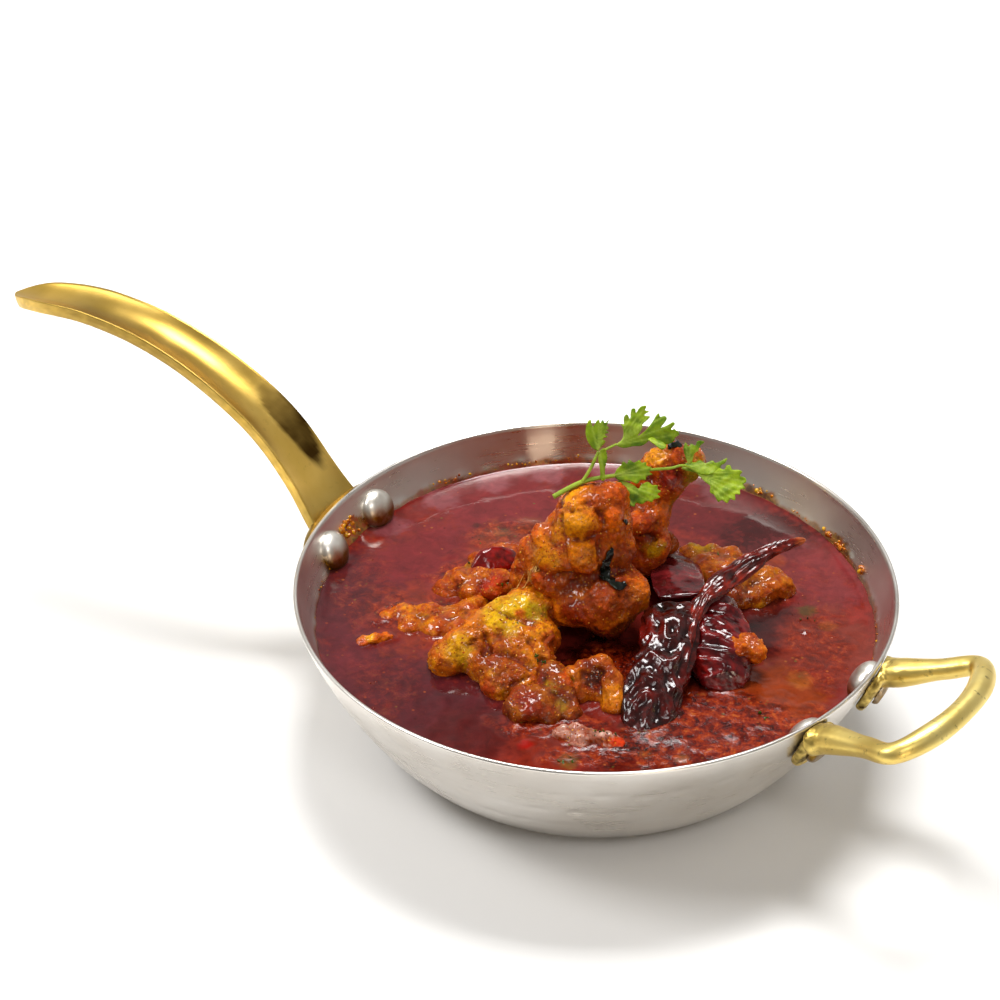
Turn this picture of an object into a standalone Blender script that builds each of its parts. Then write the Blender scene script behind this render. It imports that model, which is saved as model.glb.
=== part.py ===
"""Chicken curry in a small hammered steel serving pan.

A turned steel pan with a riveted brass gutter handle and a riveted brass loop
handle.  It is filled with gravy, out of which stand pieces of chicken, dried
chillies and spoonfuls of masala, with a coriander sprig on top.

Frame: origin at the centre of the pan's underside, +Z up, the long handle runs
along -X.  Lengths are metres.
"""
import math

import bmesh
import bpy
from mathutils import Matrix, Vector
from mathutils.geometry import interpolate_bezier

MM = 0.001

# Pan
RIM_RADIUS = 90 * MM
BASE_RADIUS = 60 * MM
PAN_HEIGHT = 48.5 * MM
PAN_WALL = 1.3 * MM
WALL_LEAN = 1.2             # how soon the wall turns in below the rim
WALL_KNUCKLE = 1.35         # how tight the turn into the base is
PAN_SIDES = 48

# Gaps and levels
GAP = 0.35 * MM             # left between pieces that touch
GRAVY_LEVEL = 35 * MM
GRAVY_CREEP = 0.7 * MM      # how far the gravy climbs the wall

# Rivets
RIVET_HEAD_RADIUS = 5.9 * MM
RIVET_HEAD_RISE = 4 * MM
RIVET_SHANK_RADIUS = 2.4 * MM
RIVET_TAIL_RADIUS = 4 * MM
RIVET_TAIL_RISE = 1.6 * MM

# Long handle: a cast gutter, dished along its upper side
HANDLE_AZIMUTH = 180
HANDLE_RIVET_SPREAD = 9     # degrees from the handle's middle to each rivet
HANDLE_RIVET_HEIGHT = 38.4 * MM
HANDLE_ROOT_WIDTH = 21.8 * MM
HANDLE_END_WIDTH = 15.2 * MM
HANDLE_EDGE = 3.6 * MM      # height of its side faces
HANDLE_BELLY = 2.4 * MM     # how far the underside hangs below the side faces
HANDLE_DISH = 3.0 * MM      # how deep the upper side is hollowed
HANDLE_FOOT_THICKNESS = 4.4 * MM

# Loop handle: a cast D-shaped bar on two flared feet
LOOP_AZIMUTH = -10.3
LOOP_FOOT_SPREAD = 12.6     # degrees from the loop's middle to where the bar starts
LOOP_RIVET_SPREAD = 10.6    # degrees from the loop's middle to each rivet
LOOP_RIVET_HEIGHT = 39.4 * MM
LOOP_REACH = 35.8 * MM      # how far the bar stands out from the wall
LOOP_HALF_WIDTH = 24.4 * MM
LOOP_RISE = 0.44            # rise of the bar for each unit that it reaches out
LOOP_ROOT_HEIGHT = 42.5 * MM
LOOP_BAR_RADIUS = 3.1 * MM
LOOP_FOOT_THICKNESS = 3.2 * MM

# Food: laid out across the pan, turned to face the loop handle's near side
PLATING_TURN = math.radians(25.5)
BLOB_STIFFNESS = 10.0
BLOB_THRESHOLD = 0.6
BLOB_UNITS = 100.0          # metaballs are shaped at this scale, then shrunk
BLOB_FACES_KEPT = 0.38      # share of a piece's faces that its shape needs
LEAF_THICKNESS = 0.6 * MM


# ---------------------------------------------------------------- helpers

def add_object(name, mesh, material):
    obj = bpy.data.objects.new(name, mesh)
    bpy.context.scene.collection.objects.link(obj)
    mesh.materials.clear()
    mesh.materials.append(material)
    return obj


def make_material(name, colour, roughness, metallic=0.0):
    """A Principled material from an sRGB colour given as three 0-255 values."""
    material = bpy.data.materials.new(name)
    material.use_nodes = True
    shader = material.node_tree.nodes["Principled BSDF"]
    linear = [((c / 255 + 0.055) / 1.055) ** 2.4 if c > 10 else c / 255 / 12.92
              for c in colour]
    shader.inputs["Base Color"].default_value = (*linear, 1.0)
    shader.inputs["Roughness"].default_value = roughness
    shader.inputs["Metallic"].default_value = metallic
    return material


def mesh_from(name, bm, sharp=40):
    """Turn a bmesh into a smooth-shaded mesh with its faces pointing out."""
    bmesh.ops.recalc_face_normals(bm, faces=bm.faces[:])
    if bm.calc_volume(signed=True) < 0:
        bmesh.ops.reverse_faces(bm, faces=bm.faces[:])
    mesh = bpy.data.meshes.new(name)
    bm.to_mesh(mesh)
    bm.free()
    mesh.shade_smooth()
    mesh.set_sharp_from_angle(angle=math.radians(sharp))
    return mesh


def skin_rings(bm, rings, closed_ring=True):
    """Bridge equal rings of vertices one after another with quads."""
    count = len(rings[0])
    for near, far in zip(rings, rings[1:]):
        for i in range(count if closed_ring else count - 1):
            j = (i + 1) % count
            bm.faces.new((near[i], near[j], far[j], far[i]))


def loft(name, sections):
    """A solid through closed sections, each a list of points, capped at both ends."""
    bm = bmesh.new()
    rings = [[bm.verts.new(point) for point in section] for section in sections]
    skin_rings(bm, rings)
    bm.faces.new(rings[0])
    bm.faces.new(rings[-1])
    return mesh_from(name, bm)


def turned(name, profile, sides=PAN_SIDES):
    """Turn an open (radius, z) profile, both of whose ends are on the axis."""
    bm = bmesh.new()
    first = bm.verts.new((0, 0, profile[0][1]))
    last = bm.verts.new((0, 0, profile[-1][1]))
    rings = []
    for radius, z in profile[1:-1]:
        angles = [2 * math.pi * i / sides for i in range(sides)]
        rings.append([bm.verts.new((radius * math.cos(a), radius * math.sin(a), z))
                      for a in angles])
    skin_rings(bm, rings)
    for i in range(sides):
        j = (i + 1) % sides
        bm.faces.new((first, rings[0][i], rings[0][j]))
        bm.faces.new((last, rings[-1][j], rings[-1][i]))
    return mesh_from(name, bm)


def bake(obj):
    """Replace an object's mesh with what its modifiers make of it."""
    bpy.context.view_layer.update()
    depsgraph = bpy.context.evaluated_depsgraph_get()
    mesh = bpy.data.meshes.new_from_object(obj.evaluated_get(depsgraph))
    obj.modifiers.clear()
    obj.data = mesh


def remove(objects):
    for obj in objects:
        bpy.data.objects.remove(obj)


def combine(obj, tools, operation):
    """Join tools to an object or cut them out of it, one Boolean for each."""
    for tool in tools:
        modifier = obj.modifiers.new(tool.name, "BOOLEAN")
        modifier.operation = operation
        modifier.solver = "EXACT"
        modifier.object = tool
    bake(obj)


def grown_copy(obj, gap):
    """A copy whose surface stands out by the gap, to cut a snug pocket with."""
    bm = bmesh.new()
    bm.from_mesh(obj.data)
    bm.normal_update()
    moves = [(vert, vert.normal * gap) for vert in bm.verts]
    for vert, move in moves:
        vert.co += move
    mesh = bpy.data.meshes.new(obj.name + ".grown")
    bm.to_mesh(mesh)
    bm.free()
    copy = bpy.data.objects.new(mesh.name, mesh)
    copy.matrix_world = obj.matrix_world
    bpy.context.scene.collection.objects.link(copy)
    return copy


def keep_largest_body(obj):
    """Drop the crumbs that a cut leaves beside the main body."""
    bm = bmesh.new()
    bm.from_mesh(obj.data)
    bmesh.ops.remove_doubles(bm, verts=bm.verts[:], dist=0.01 * MM)
    unseen = set(bm.verts)
    bodies = []
    while unseen:
        body = set()
        front = [next(iter(sorted(unseen, key=lambda v: v.index)))]
        while front:
            vert = front.pop()
            if vert in body:
                continue
            body.add(vert)
            front.extend(edge.other_vert(vert) for edge in vert.link_edges)
        unseen -= body
        bodies.append(body)
    bodies.sort(key=len)
    crumbs = [vert for body in bodies[:-1] for vert in body]
    bmesh.ops.delete(bm, geom=crumbs, context="VERTS")
    bm.to_mesh(obj.data)
    bm.free()


def cut_round(obj, neighbours, gap=GAP):
    """Cut an object back to a gap round each neighbour."""
    tools = [grown_copy(neighbour, gap) for neighbour in neighbours]
    combine(obj, tools, "DIFFERENCE")
    remove(tools)
    keep_largest_body(obj)
    obj.data.shade_smooth()
    obj.data.set_sharp_from_angle(angle=math.radians(40))


def smooth_path(points, steps):
    """Points along a smooth curve through the given ones, with even steps between."""
    points = [Vector(point) for point in points]
    path = []
    for i in range(len(points) - 1):
        before = points[max(i - 1, 0)]
        after = points[min(i + 2, len(points) - 1)]
        start, end = points[i], points[i + 1]
        lead = start + (end - before) / 6
        tail = end - (after - start) / 6
        path += interpolate_bezier(start, lead, tail, end, steps + 1)[:-1]
    path.append(points[-1])
    return path


def blend(values, t):
    """Read a list of values at t from 0 to 1, eased between its entries."""
    place = t * (len(values) - 1)
    i = min(int(place), len(values) - 2)
    k = place - i
    k = k * k * (3 - 2 * k)
    return values[i] * (1 - k) + values[i + 1] * k


# ---------------------------------------------------------------- pan

def wall_radius(z):
    """Outer radius of the pan at height z."""
    depth = min(max((PAN_HEIGHT - z) / PAN_HEIGHT, 0.0), 1.0)
    reach = (1 - depth ** WALL_LEAN) ** (1 / WALL_KNUCKLE)
    return BASE_RADIUS + (RIM_RADIUS - BASE_RADIUS) * reach


def wall_slope(z):
    """Angle by which the wall's outward normal dips below level at height z."""
    step = 0.5 * MM
    return math.atan2(wall_radius(z + step) - wall_radius(z - step), 2 * step)


def wall_point(z, inset):
    """(radius, z) on the wall at height z, moved inwards along its normal."""
    slope = wall_slope(z)
    return (wall_radius(z) - inset * math.cos(slope), z + inset * math.sin(slope))


def wall_profile(inset, low, high, steps):
    """Profile along the wall from low to high, closer together near the base."""
    heights = [low + (high - low) * (i / steps) ** 1.4 for i in range(steps + 1)]
    return [wall_point(z, inset) for z in heights]


def inner_profile(gap):
    """Profile of the wall's inner face, moved in by a gap."""
    return wall_profile(PAN_WALL + gap, 1.6 * MM, PAN_HEIGHT - PAN_WALL / 2, 5)


def clipped(profile, top):
    """A rising profile up to the height top, ended on the straight run there."""
    for i, (radius, z) in enumerate(profile):
        if z > top:
            below, low = profile[i - 1]
            share = (top - low) / (z - low)
            return profile[:i] + [(below + (radius - below) * share, top)]
    return profile


def make_pan(material):
    outer = wall_profile(0, 1.2 * MM, PAN_HEIGHT - PAN_WALL / 2, 4)
    inner = inner_profile(0)
    lip = [(RIM_RADIUS - PAN_WALL * 0.3, PAN_HEIGHT),
           (RIM_RADIUS - PAN_WALL * 0.8, PAN_HEIGHT)]
    floor_edge = BASE_RADIUS - 2 * PAN_WALL
    profile = [(0, 0), (BASE_RADIUS - 1 * MM, 0), (BASE_RADIUS + 0.8 * MM, 0.4 * MM)]
    profile += outer + lip + inner[::-1]
    profile += [(floor_edge, PAN_WALL), (0, PAN_WALL)]
    return add_object("pan", turned("pan", profile), material)


def wall_envelope():
    """The space of the pan and what is in it, with the gap, to cut handles back."""
    side = wall_profile(-GAP, 1.2 * MM, PAN_HEIGHT - 0.1 * MM, 9)
    profile = [(0, -GAP), (BASE_RADIUS, -GAP)] + side
    profile += [(side[-1][0], PAN_HEIGHT + 5 * MM), (0, PAN_HEIGHT + 5 * MM)]
    mesh = turned("envelope", profile)
    return add_object("envelope", mesh, make_material("envelope", (200, 200, 200), 0.5))


# ---------------------------------------------------------------- rivets

def rivet_matrix(azimuth, height):
    """Frame on the wall's outer face: +Z points out of the pan along its normal."""
    angle = math.radians(azimuth)
    radius = wall_radius(height)
    place = Matrix.Translation((radius * math.cos(angle), radius * math.sin(angle), height))
    turn = Matrix.Rotation(angle, 4, "Z")
    lean = Matrix.Rotation(math.pi / 2 + wall_slope(height), 4, "Y")
    return place @ turn @ lean


def make_rivet(name, azimuth, height, foot_thickness, material):
    """A domed head inside the pan, a shank through wall and foot, a tail outside."""
    seat = -PAN_WALL - 0.7 * MM
    tail_seat = foot_thickness + 2 * GAP + 0.2 * MM
    dome = []
    for i in range(4):
        angle = math.pi / 2 * i / 3
        dome.append((RIVET_HEAD_RADIUS * math.sin(angle),
                     seat - RIVET_HEAD_RISE * math.cos(angle)))
    profile = dome + [(RIVET_SHANK_RADIUS, seat), (RIVET_SHANK_RADIUS, tail_seat),
                      (RIVET_TAIL_RADIUS, tail_seat),
                      (RIVET_TAIL_RADIUS * 0.7, tail_seat + RIVET_TAIL_RISE),
                      (0, tail_seat + RIVET_TAIL_RISE)]
    obj = add_object(name, turned(name, profile, 12), material)
    obj.matrix_world = rivet_matrix(azimuth, height)
    return obj


def drill(objects, azimuths, height):
    """Drill the shank holes, a gap wider than the shanks."""
    drills = []
    for azimuth in azimuths:
        radius = RIVET_SHANK_RADIUS + GAP
        profile = [(0, -12 * MM), (radius, -12 * MM), (radius, 12 * MM), (0, 12 * MM)]
        tool = add_object("drill", turned("drill", profile, 12),
                          objects[0].data.materials[0])
        tool.matrix_world = rivet_matrix(azimuth, height)
        drills.append(tool)
    for obj in objects:
        combine(obj, drills, "DIFFERENCE")
    remove(drills)


def wall_pad(name, azimuth, height, half_width, half_height, thickness, sides, material):
    """A rounded plate that hugs the wall; it starts inside the wall, to be cut back."""
    bm = bmesh.new()
    layers = []
    squareness = 0.62
    for inset, shrink in ((1.5 * MM, 1.0), (-thickness * 0.6, 1.0), (-thickness, 0.9)):
        rings = []
        for ring in (0.5, 1.0):
            verts = []
            for i in range(sides):
                a = 2 * math.pi * i / sides
                across = math.copysign(abs(math.cos(a)) ** squareness, math.cos(a))
                up = math.copysign(abs(math.sin(a)) ** squareness, math.sin(a))
                z = height + up * half_height * ring * shrink
                radius, lifted = wall_point(z, inset)
                turn = math.radians(azimuth) + across * half_width * ring * shrink / radius
                verts.append(bm.verts.new((radius * math.cos(turn),
                                           radius * math.sin(turn), lifted)))
            rings.append(verts)
        layers.append(rings)
    for rings in (layers[0], layers[-1]):
        skin_rings(bm, rings)
        bm.faces.new(rings[0])
    skin_rings(bm, [rings[1] for rings in layers])
    return add_object(name, mesh_from(name, bm), material)


# ---------------------------------------------------------------- handles

def make_long_handle(material):
    """The gutter: stations along a rising arc, dished above and bellied below."""
    knots = [(-86 * MM, 38.5 * MM), (-92 * MM, 47.0 * MM), (-108.3 * MM, 69.1 * MM),
             (-127.6 * MM, 83.3 * MM), (-150.9 * MM, 93.4 * MM),
             (-175.7 * MM, 97.6 * MM), (-198 * MM, 96.2 * MM), (-210.5 * MM, 92.8 * MM)]
    path = smooth_path([(x, 0, z) for x, z in knots], 2)
    tip = path.pop()
    path += [path[-1].lerp(tip, share) for share in (0.5, 0.8, 0.95, 1.0)]
    total = len(path) - 1
    length = [(point - path[0]).length for point in path]
    end_start = 0.84          # where the rounded end begins along the handle
    sections = []
    for i, point in enumerate(path):
        t = length[i] / length[-1]
        ahead = path[min(i + 1, total)] - path[max(i - 1, 0)]
        ahead.normalize()
        up = Vector((0, 1, 0)).cross(ahead)
        side = Vector((0, 1, 0))
        width = HANDLE_ROOT_WIDTH + (HANDLE_END_WIDTH - HANDLE_ROOT_WIDTH) * t
        dish = HANDLE_DISH * min(1.0, 3.2 * t)
        belly = HANDLE_BELLY
        edge = HANDLE_EDGE + 0.9 * MM * t
        if t > end_start:
            rounding = (t - end_start) / (1 - end_start)
            width *= max(math.sqrt(1 - rounding ** 2), 0.22)
            dish *= 1 - rounding ** 1.5
            belly *= 1 - 0.5 * rounding
        section = []
        for k in range(7):
            across = 1 - k / 3
            section.append(point + side * across * width / 2
                           - up * dish * (1 - across ** 2))
        for k in range(5):
            across = -1 + k / 2
            section.append(point + side * across * width / 2
                           - up * (edge + belly * (1 - across ** 2)))
        sections.append(section)
    handle = add_object("long_handle", loft("long_handle", sections), material)
    foot = wall_pad("foot", HANDLE_AZIMUTH, HANDLE_RIVET_HEIGHT + 1.0 * MM, 24.5 * MM,
                    7.8 * MM, HANDLE_FOOT_THICKNESS, 20, material)
    combine(handle, [foot], "UNION")
    remove([foot])
    return handle


def make_loop_handle(material):
    """The D-loop: a round bar that swells into a flared foot at each end."""
    spread = math.radians(LOOP_FOOT_SPREAD)
    root = wall_radius(LOOP_ROOT_HEIGHT)
    foot_x, foot_y = root * math.cos(spread), root * math.sin(spread)
    side = [(-3 * MM, foot_y), (7 * MM, foot_y - 0.6 * MM), (19 * MM, foot_y + 2.2 * MM),
            (28.5 * MM, LOOP_HALF_WIDTH - 0.8 * MM), (34 * MM, LOOP_HALF_WIDTH * 0.55)]
    outline = side + [(LOOP_REACH, 0)] + [(x, -y) for x, y in reversed(side)]
    points = [(foot_x + x, y, LOOP_ROOT_HEIGHT + LOOP_RISE * x) for x, y in outline]
    turn = Matrix.Rotation(math.radians(LOOP_AZIMUTH), 3, "Z")
    path = smooth_path([turn @ Vector(point) for point in points], 2)
    total = len(path) - 1
    swell = [2.3, 1.25, 0.95, 1.0, 1.12, 1.05, 1.12, 1.0, 0.95, 1.25, 2.3]
    sections = []
    for i, point in enumerate(path):
        ahead = path[min(i + 1, total)] - path[max(i - 1, 0)]
        ahead.normalize()
        out = ahead.cross(Vector((0, 0, 1))).normalized()
        up = out.cross(ahead)
        radius = LOOP_BAR_RADIUS * blend(swell, i / total)
        tall = 0.92
        section = []
        for k in range(8):
            a = 2 * math.pi * (k + 0.5) / 8
            section.append(point + out * radius * math.cos(a)
                           + up * radius * tall * math.sin(a))
        sections.append(section)
    handle = add_object("loop_handle", loft("loop_handle", sections), material)
    pads = [wall_pad("pad", LOOP_AZIMUTH + s * LOOP_RIVET_SPREAD, LOOP_RIVET_HEIGHT + 0.5 * MM,
                     6.0 * MM, 7.0 * MM, LOOP_FOOT_THICKNESS, 14, material)
            for s in (-1, 1)]
    combine(handle, pads, "UNION")
    remove(pads)
    return handle


# ---------------------------------------------------------------- gravy

def make_gravy(material):
    """The gravy fills the pan up to its level and climbs the wall a little."""
    side = clipped(inner_profile(GAP), GRAVY_LEVEL + GRAVY_CREEP)
    edge = side[-1][0]
    floor = PAN_WALL + GAP
    profile = [(0, floor), (BASE_RADIUS - 2 * PAN_WALL - GAP, floor)] + side
    profile += [(edge - 1.6 * MM, GRAVY_LEVEL + 0.1 * MM),
                (edge - 5 * MM, GRAVY_LEVEL), (0, GRAVY_LEVEL)]
    return add_object("gravy", turned("gravy", profile), material)


# ---------------------------------------------------------------- food

def blob(name, balls, cell, material):
    """One lumpy piece: balls of (x, y, z, radius) in mm that melt into each other."""
    meta = bpy.data.metaballs.new(name + "_balls")
    meta.threshold = BLOB_THRESHOLD
    meta.resolution = cell * MM * BLOB_UNITS
    meta.render_resolution = meta.resolution
    reach = math.sqrt(1 - (BLOB_THRESHOLD / BLOB_STIFFNESS) ** (1 / 3))
    for x, y, z, radius in balls:
        element = meta.elements.new()
        element.co = Vector((x, y, z)) * MM * BLOB_UNITS
        element.radius = radius * MM * BLOB_UNITS / reach
        element.stiffness = BLOB_STIFFNESS
    source = bpy.data.objects.new(meta.name, meta)
    bpy.context.scene.collection.objects.link(source)
    bpy.context.view_layer.update()
    depsgraph = bpy.context.evaluated_depsgraph_get()
    mesh = bpy.data.meshes.new_from_object(source.evaluated_get(depsgraph))
    bpy.data.objects.remove(source)
    mesh.transform(Matrix.Scale(1 / BLOB_UNITS, 4))
    bm = bmesh.new()
    bm.from_mesh(mesh)
    bmesh.ops.remove_doubles(bm, verts=bm.verts[:], dist=cell * MM * 0.28)
    bmesh.ops.triangulate(bm, faces=bm.faces[:])
    bmesh.ops.smooth_vert(bm, verts=bm.verts[:], factor=0.4,
                          use_axis_x=True, use_axis_y=True, use_axis_z=True)
    obj = add_object(name, mesh_from(name, bm, 80), material)
    obj.rotation_euler.z = PLATING_TURN
    thinning = obj.modifiers.new("thinning", "DECIMATE")
    thinning.ratio = BLOB_FACES_KEPT
    bake(obj)
    return obj


def chilli(name, path, half_widths, half_heights, turns, material, wrinkle=0.12):
    """A dried chilli: flattened sections along a path in mm, puckered lengthwise."""
    points = smooth_path([Vector(point) * MM for point in path], 2)
    total = len(points) - 1
    sections = []
    for i, point in enumerate(points):
        t = i / total
        ahead = points[min(i + 1, total)] - points[max(i - 1, 0)]
        ahead.normalize()
        side = ahead.cross(Vector((0, 0, 1))).normalized()
        up = side.cross(ahead)
        roll = math.radians(blend(turns, t))
        section = []
        for k in range(10):
            a = 2 * math.pi * k / 10
            pucker = 1 + wrinkle * math.cos(3 * a + 5 * t) * math.sin(2.5 + 9 * t)
            wide = blend(half_widths, t) * MM * math.cos(a) * pucker
            high = blend(half_heights, t) * MM * math.sin(a) * pucker
            section.append(point + side * (wide * math.cos(roll) - high * math.sin(roll))
                           + up * (wide * math.sin(roll) + high * math.cos(roll)))
        sections.append(section)
    obj = add_object(name, loft(name, sections), material)
    obj.rotation_euler.z = PLATING_TURN
    return obj


def stem(path, radius):
    """A thin stalk: a five-sided tube along a path in mm."""
    points = smooth_path([Vector(point) * MM for point in path], 2)
    total = len(points) - 1
    sections = []
    for i, point in enumerate(points):
        ahead = points[min(i + 1, total)] - points[max(i - 1, 0)]
        side = ahead.normalized().cross(Vector((0.1, 0.2, 1))).normalized()
        up = side.cross(ahead.normalized())
        sections.append([point + (side * math.cos(a) + up * math.sin(a)) * radius * MM
                         for a in (2 * math.pi * k / 5 for k in range(5))])
    return loft("stem", sections)


def leaf(root, tip, facing, spread, lobes):
    """A fan-shaped leaf: a thin plate from its root to its tip, cut into lobes."""
    root, tip = Vector(root) * MM, Vector(tip) * MM
    length = (tip - root).length
    along = (tip - root).normalized()
    across = along.cross(Vector(facing)).normalized()
    normal = across.cross(along)
    count = lobes * 2 + 1
    bm = bmesh.new()
    rings = []
    for lift in (-LEAF_THICKNESS / 2, LEAF_THICKNESS / 2):
        ring = [bm.verts.new(root - along * 1 * MM + normal * lift)]
        for k in range(count):
            t = 2 * k / (count - 1) - 1
            notch = 0.72 if k % 2 else 1.0
            reach = length * (1 - 0.3 * t * t) * notch
            angle = math.radians(spread) * t
            cup = 0.12 * length * t * t
            ring.append(bm.verts.new(root + (along * math.cos(angle) + across * math.sin(angle))
                                     * reach + normal * (lift + cup)))
        rings.append(ring)
    skin_rings(bm, rings)
    for ring in rings:
        lift = (ring[0].co - root).dot(normal)
        hub = bm.verts.new(root + along * length * 0.4 + normal * lift)
        for i in range(len(ring)):
            bm.faces.new((hub, ring[i], ring[(i + 1) % len(ring)]))
    return mesh_from("leaf", bm)


def make_coriander(material):
    """The sprig: a main stem, side stalks and lobed leaves, joined into one."""
    stems = [
        ([(-12.5, -1, 78.5), (-4, 2, 83), (7, 4.5, 84)], 0.85),
        ([(-4, 2, 83), (0, 5, 89.5), (0.5, 7, 92)], 0.6),
        ([(0, 4.7, 89), (4, 8, 91), (7.5, 10, 91.3)], 0.5),
        ([(5, 4.2, 84), (17, 10, 80.5), (28, 15, 78)], 0.55),
    ]
    leaves = [
        ((0.5, 6.5, 90.5), (-1.2, 9, 98.2), (0.2, -1, 0.3), 46, 3),
        ((1.5, 4.5, 90), (2.0, 3.0, 82.0), (0.9, -1, 0.2), 16, 1),
        ((6.5, 9.5, 91), (20.5, 15, 94), (-0.1, -0.9, 0.6), 50, 5),
        ((5, 4.4, 84), (16.5, 7, 81.5), (0.0, -0.8, 0.8), 42, 4),
        ((5.5, 4.0, 83.5), (18, 3, 76.5), (0.1, -0.9, 0.5), 34, 4),
        ((26, 14.4, 78.2), (43.5, 16, 74), (0.1, -0.8, 0.8), 48, 5),
        ((25, 14, 79), (31, 20, 82), (0.1, -0.9, 0.5), 40, 3),
    ]
    sprig = add_object("coriander", stem(*stems[0]), material)
    tools = [add_object("stalk", stem(*values), material) for values in stems[1:]]
    tools += [add_object("leaf", leaf(*values), material) for values in leaves]
    combine(sprig, tools, "UNION")
    remove(tools)
    sprig.rotation_euler.z = PLATING_TURN
    return sprig


def make_chicken(material):
    """The pieces of chicken, each a knot of lobes."""
    pieces = {
        "chicken_thigh": (3.5, [
            (-2, 2, 58, 13), (0, 0, 47, 11.5), (0, 3, 42, 10), (-3, 0, 71, 9.2),
            (3, 0.5, 68, 8), (-8.5, 0, 64.5, 7), (-5, -7, 61, 7.5), (-12.5, -7.5, 54.5, 7.2),
            (-16, -1, 56, 7.2), (-20, -2, 50.5, 5.6), (3.5, -2, 61, 7.2), (2, -11, 47, 9.5),
            (9, -8, 49, 7.6), (-7, -10.5, 46.5, 7), (4, -12, 44, 7)]),
        "chicken_bone_end": (3.0, [
            (13, 20, 44, 9), (14, 22, 51, 7.8), (17, 26, 60, 6.3), (21, 28, 67.5, 6.8),
            (28.5, 30, 71, 5.4), (17, 28, 71.5, 4.6), (24, 30, 73, 4.5), (18, 29, 39.5, 5.5)]),
        "chicken_wing": (2.9, [
            (-20, -10, 44, 6), (-18, -16, 45, 7.5), (-26, -19, 43, 7.5), (-33, -22, 41, 6.5),
            (-39, -25, 39, 6.3), (-43, -27, 37.5, 4.8), (-25, -30, 38.5, 7.4),
            (-26, -36, 36, 6.6), (-18, -37, 38, 6.2), (-13, -21, 42.5, 6.2),
            (-19, -26, 42, 6), (-12, -29, 40, 5.2)]),
        "chicken_strips": (2.5, [
            (-20, -47, 35.5, 5.6), (-15, -45, 36, 4.8), (-12, -37, 39.5, 4.2),
            (-10, -40, 38.5, 4.0), (-8, -44, 36.5, 4.0), (-6, -47, 35, 3.8)]),
        "chicken_skin": (2.0, [
            (-3.5, -41, 36.5, 2.8), (-2.5, -37.5, 39, 2.8), (0, -35, 41, 3), (4, -34.5, 41.5, 3.2),
            (6, -37.5, 39.5, 3.4), (7, -41, 37.5, 3.5), (7.5, -44, 35.5, 3.5)]),
        "chicken_back": (3.0, [
            (34, 20, 36, 7), (43, 15, 37.5, 7), (52, 16, 36, 6.5), (41, 24, 36, 6.5),
            (30, 28, 36.5, 5), (57, 13, 36, 4.5), (39, 7.5, 36, 6.2), (49, 9, 35.5, 5)]),
    }
    return [blob(name, balls, cell, material) for name, (cell, balls) in pieces.items()]


def make_masala(material):
    """Thick spoonfuls of onion masala that stand out of the gravy."""
    pieces = {
        "masala_left": (2.6, [
            (-42, 14, 34.5, 5.2), (-35, 12, 36, 5.6), (-29, 11, 36.3, 5), (-36, 19, 35, 5),
            (-45, 10, 33.5, 4.2)]),
        "masala_far_left": (2.8, [
            (-43, -4, 32, 5), (-50, -2, 32, 5), (-57, -1, 31.8, 4.8), (-61, -4, 31.6, 4),
            (-47, -9, 32, 5), (-55, -9, 31.8, 4.8), (-38, -1, 32, 4.6)]),
        "masala_front": (2.6, [
            (-8, -58, 33.5, 4), (-2, -59, 34, 4.3), (4, -60, 33.5, 4)]),
        "masala_dab": (1.8, [
            (44.5, -24, 43.5, 2.6), (46.5, -27, 42, 3.0), (42.5, -27, 43, 2.4)]),
        "masala_bit": (1.8, [
            (-68, -17, 34.6, 2.3), (-65, -16, 34.8, 2.5), (-61.5, -14.5, 34.6, 2.2)]),
    }
    return [blob(name, balls, cell, material) for name, (cell, balls) in pieces.items()]


def make_chillies(material):
    """Whole and torn dried chillies, wrinkled and flattened."""
    return [
        chilli("chilli_long",
               [(63, 12, 55.5), (53, 7.5, 54.5), (44, 0.5, 52.5), (36.5, -7, 51.5),
                (31.5, -14, 50), (28.5, -22, 47), (27, -30, 43.5)],
               [0.8, 2.2, 3.4, 3.6, 2.4, 1.7, 1.5], [0.7, 1.6, 2.2, 2.2, 1.6, 1.2, 1.0],
               [20, 15, 10, 0], material),
        chilli("chilli_broad",
               [(26, -12, 47), (23.5, -21, 45.5), (20.5, -31, 42.5), (17.5, -41, 38.5),
                (15, -50, 34.5), (13, -56, 31)],
               [5.2, 7.6, 7.8, 8.0, 8.2, 7.2, 3.6], [2.2, 3.6, 3.8, 4.0, 3.8, 3.4, 2.2],
               [-8, 4, 10, 4], material),
        chilli("chilli_round",
               [(33, -4, 43), (35, -12, 44), (37, -21, 42), (37, -29, 38.5), (35.5, -36, 34)],
               [4.5, 8.0, 9.3, 9.6, 8.0, 4], [3, 4.8, 5.2, 5.2, 4.6, 2.8],
               [-6, 6, 10], material),
        chilli("chilli_skin",
               [(25, 38, 35), (25, 28, 38), (25, 17, 41.5), (25, 6, 43.5), (26, -4, 44.5)],
               [0.8, 4.5, 7.5, 8.0, 6.5], [0.6, 0.9, 1.1, 1.1, 0.9],
               [8, 4, -4], material, wrinkle=0.05),
        chilli("chilli_scrap",
               [(-37.5, 14.5, 39.5), (-33, 16.5, 41.5), (-28, 19, 41.5), (-24.5, 22, 40.5)],
               [1.5, 4.2, 4.0, 1.8], [0.8, 2.2, 2.0, 0.8], [-25, -20], material),
    ]


# ---------------------------------------------------------------- assembly

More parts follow.
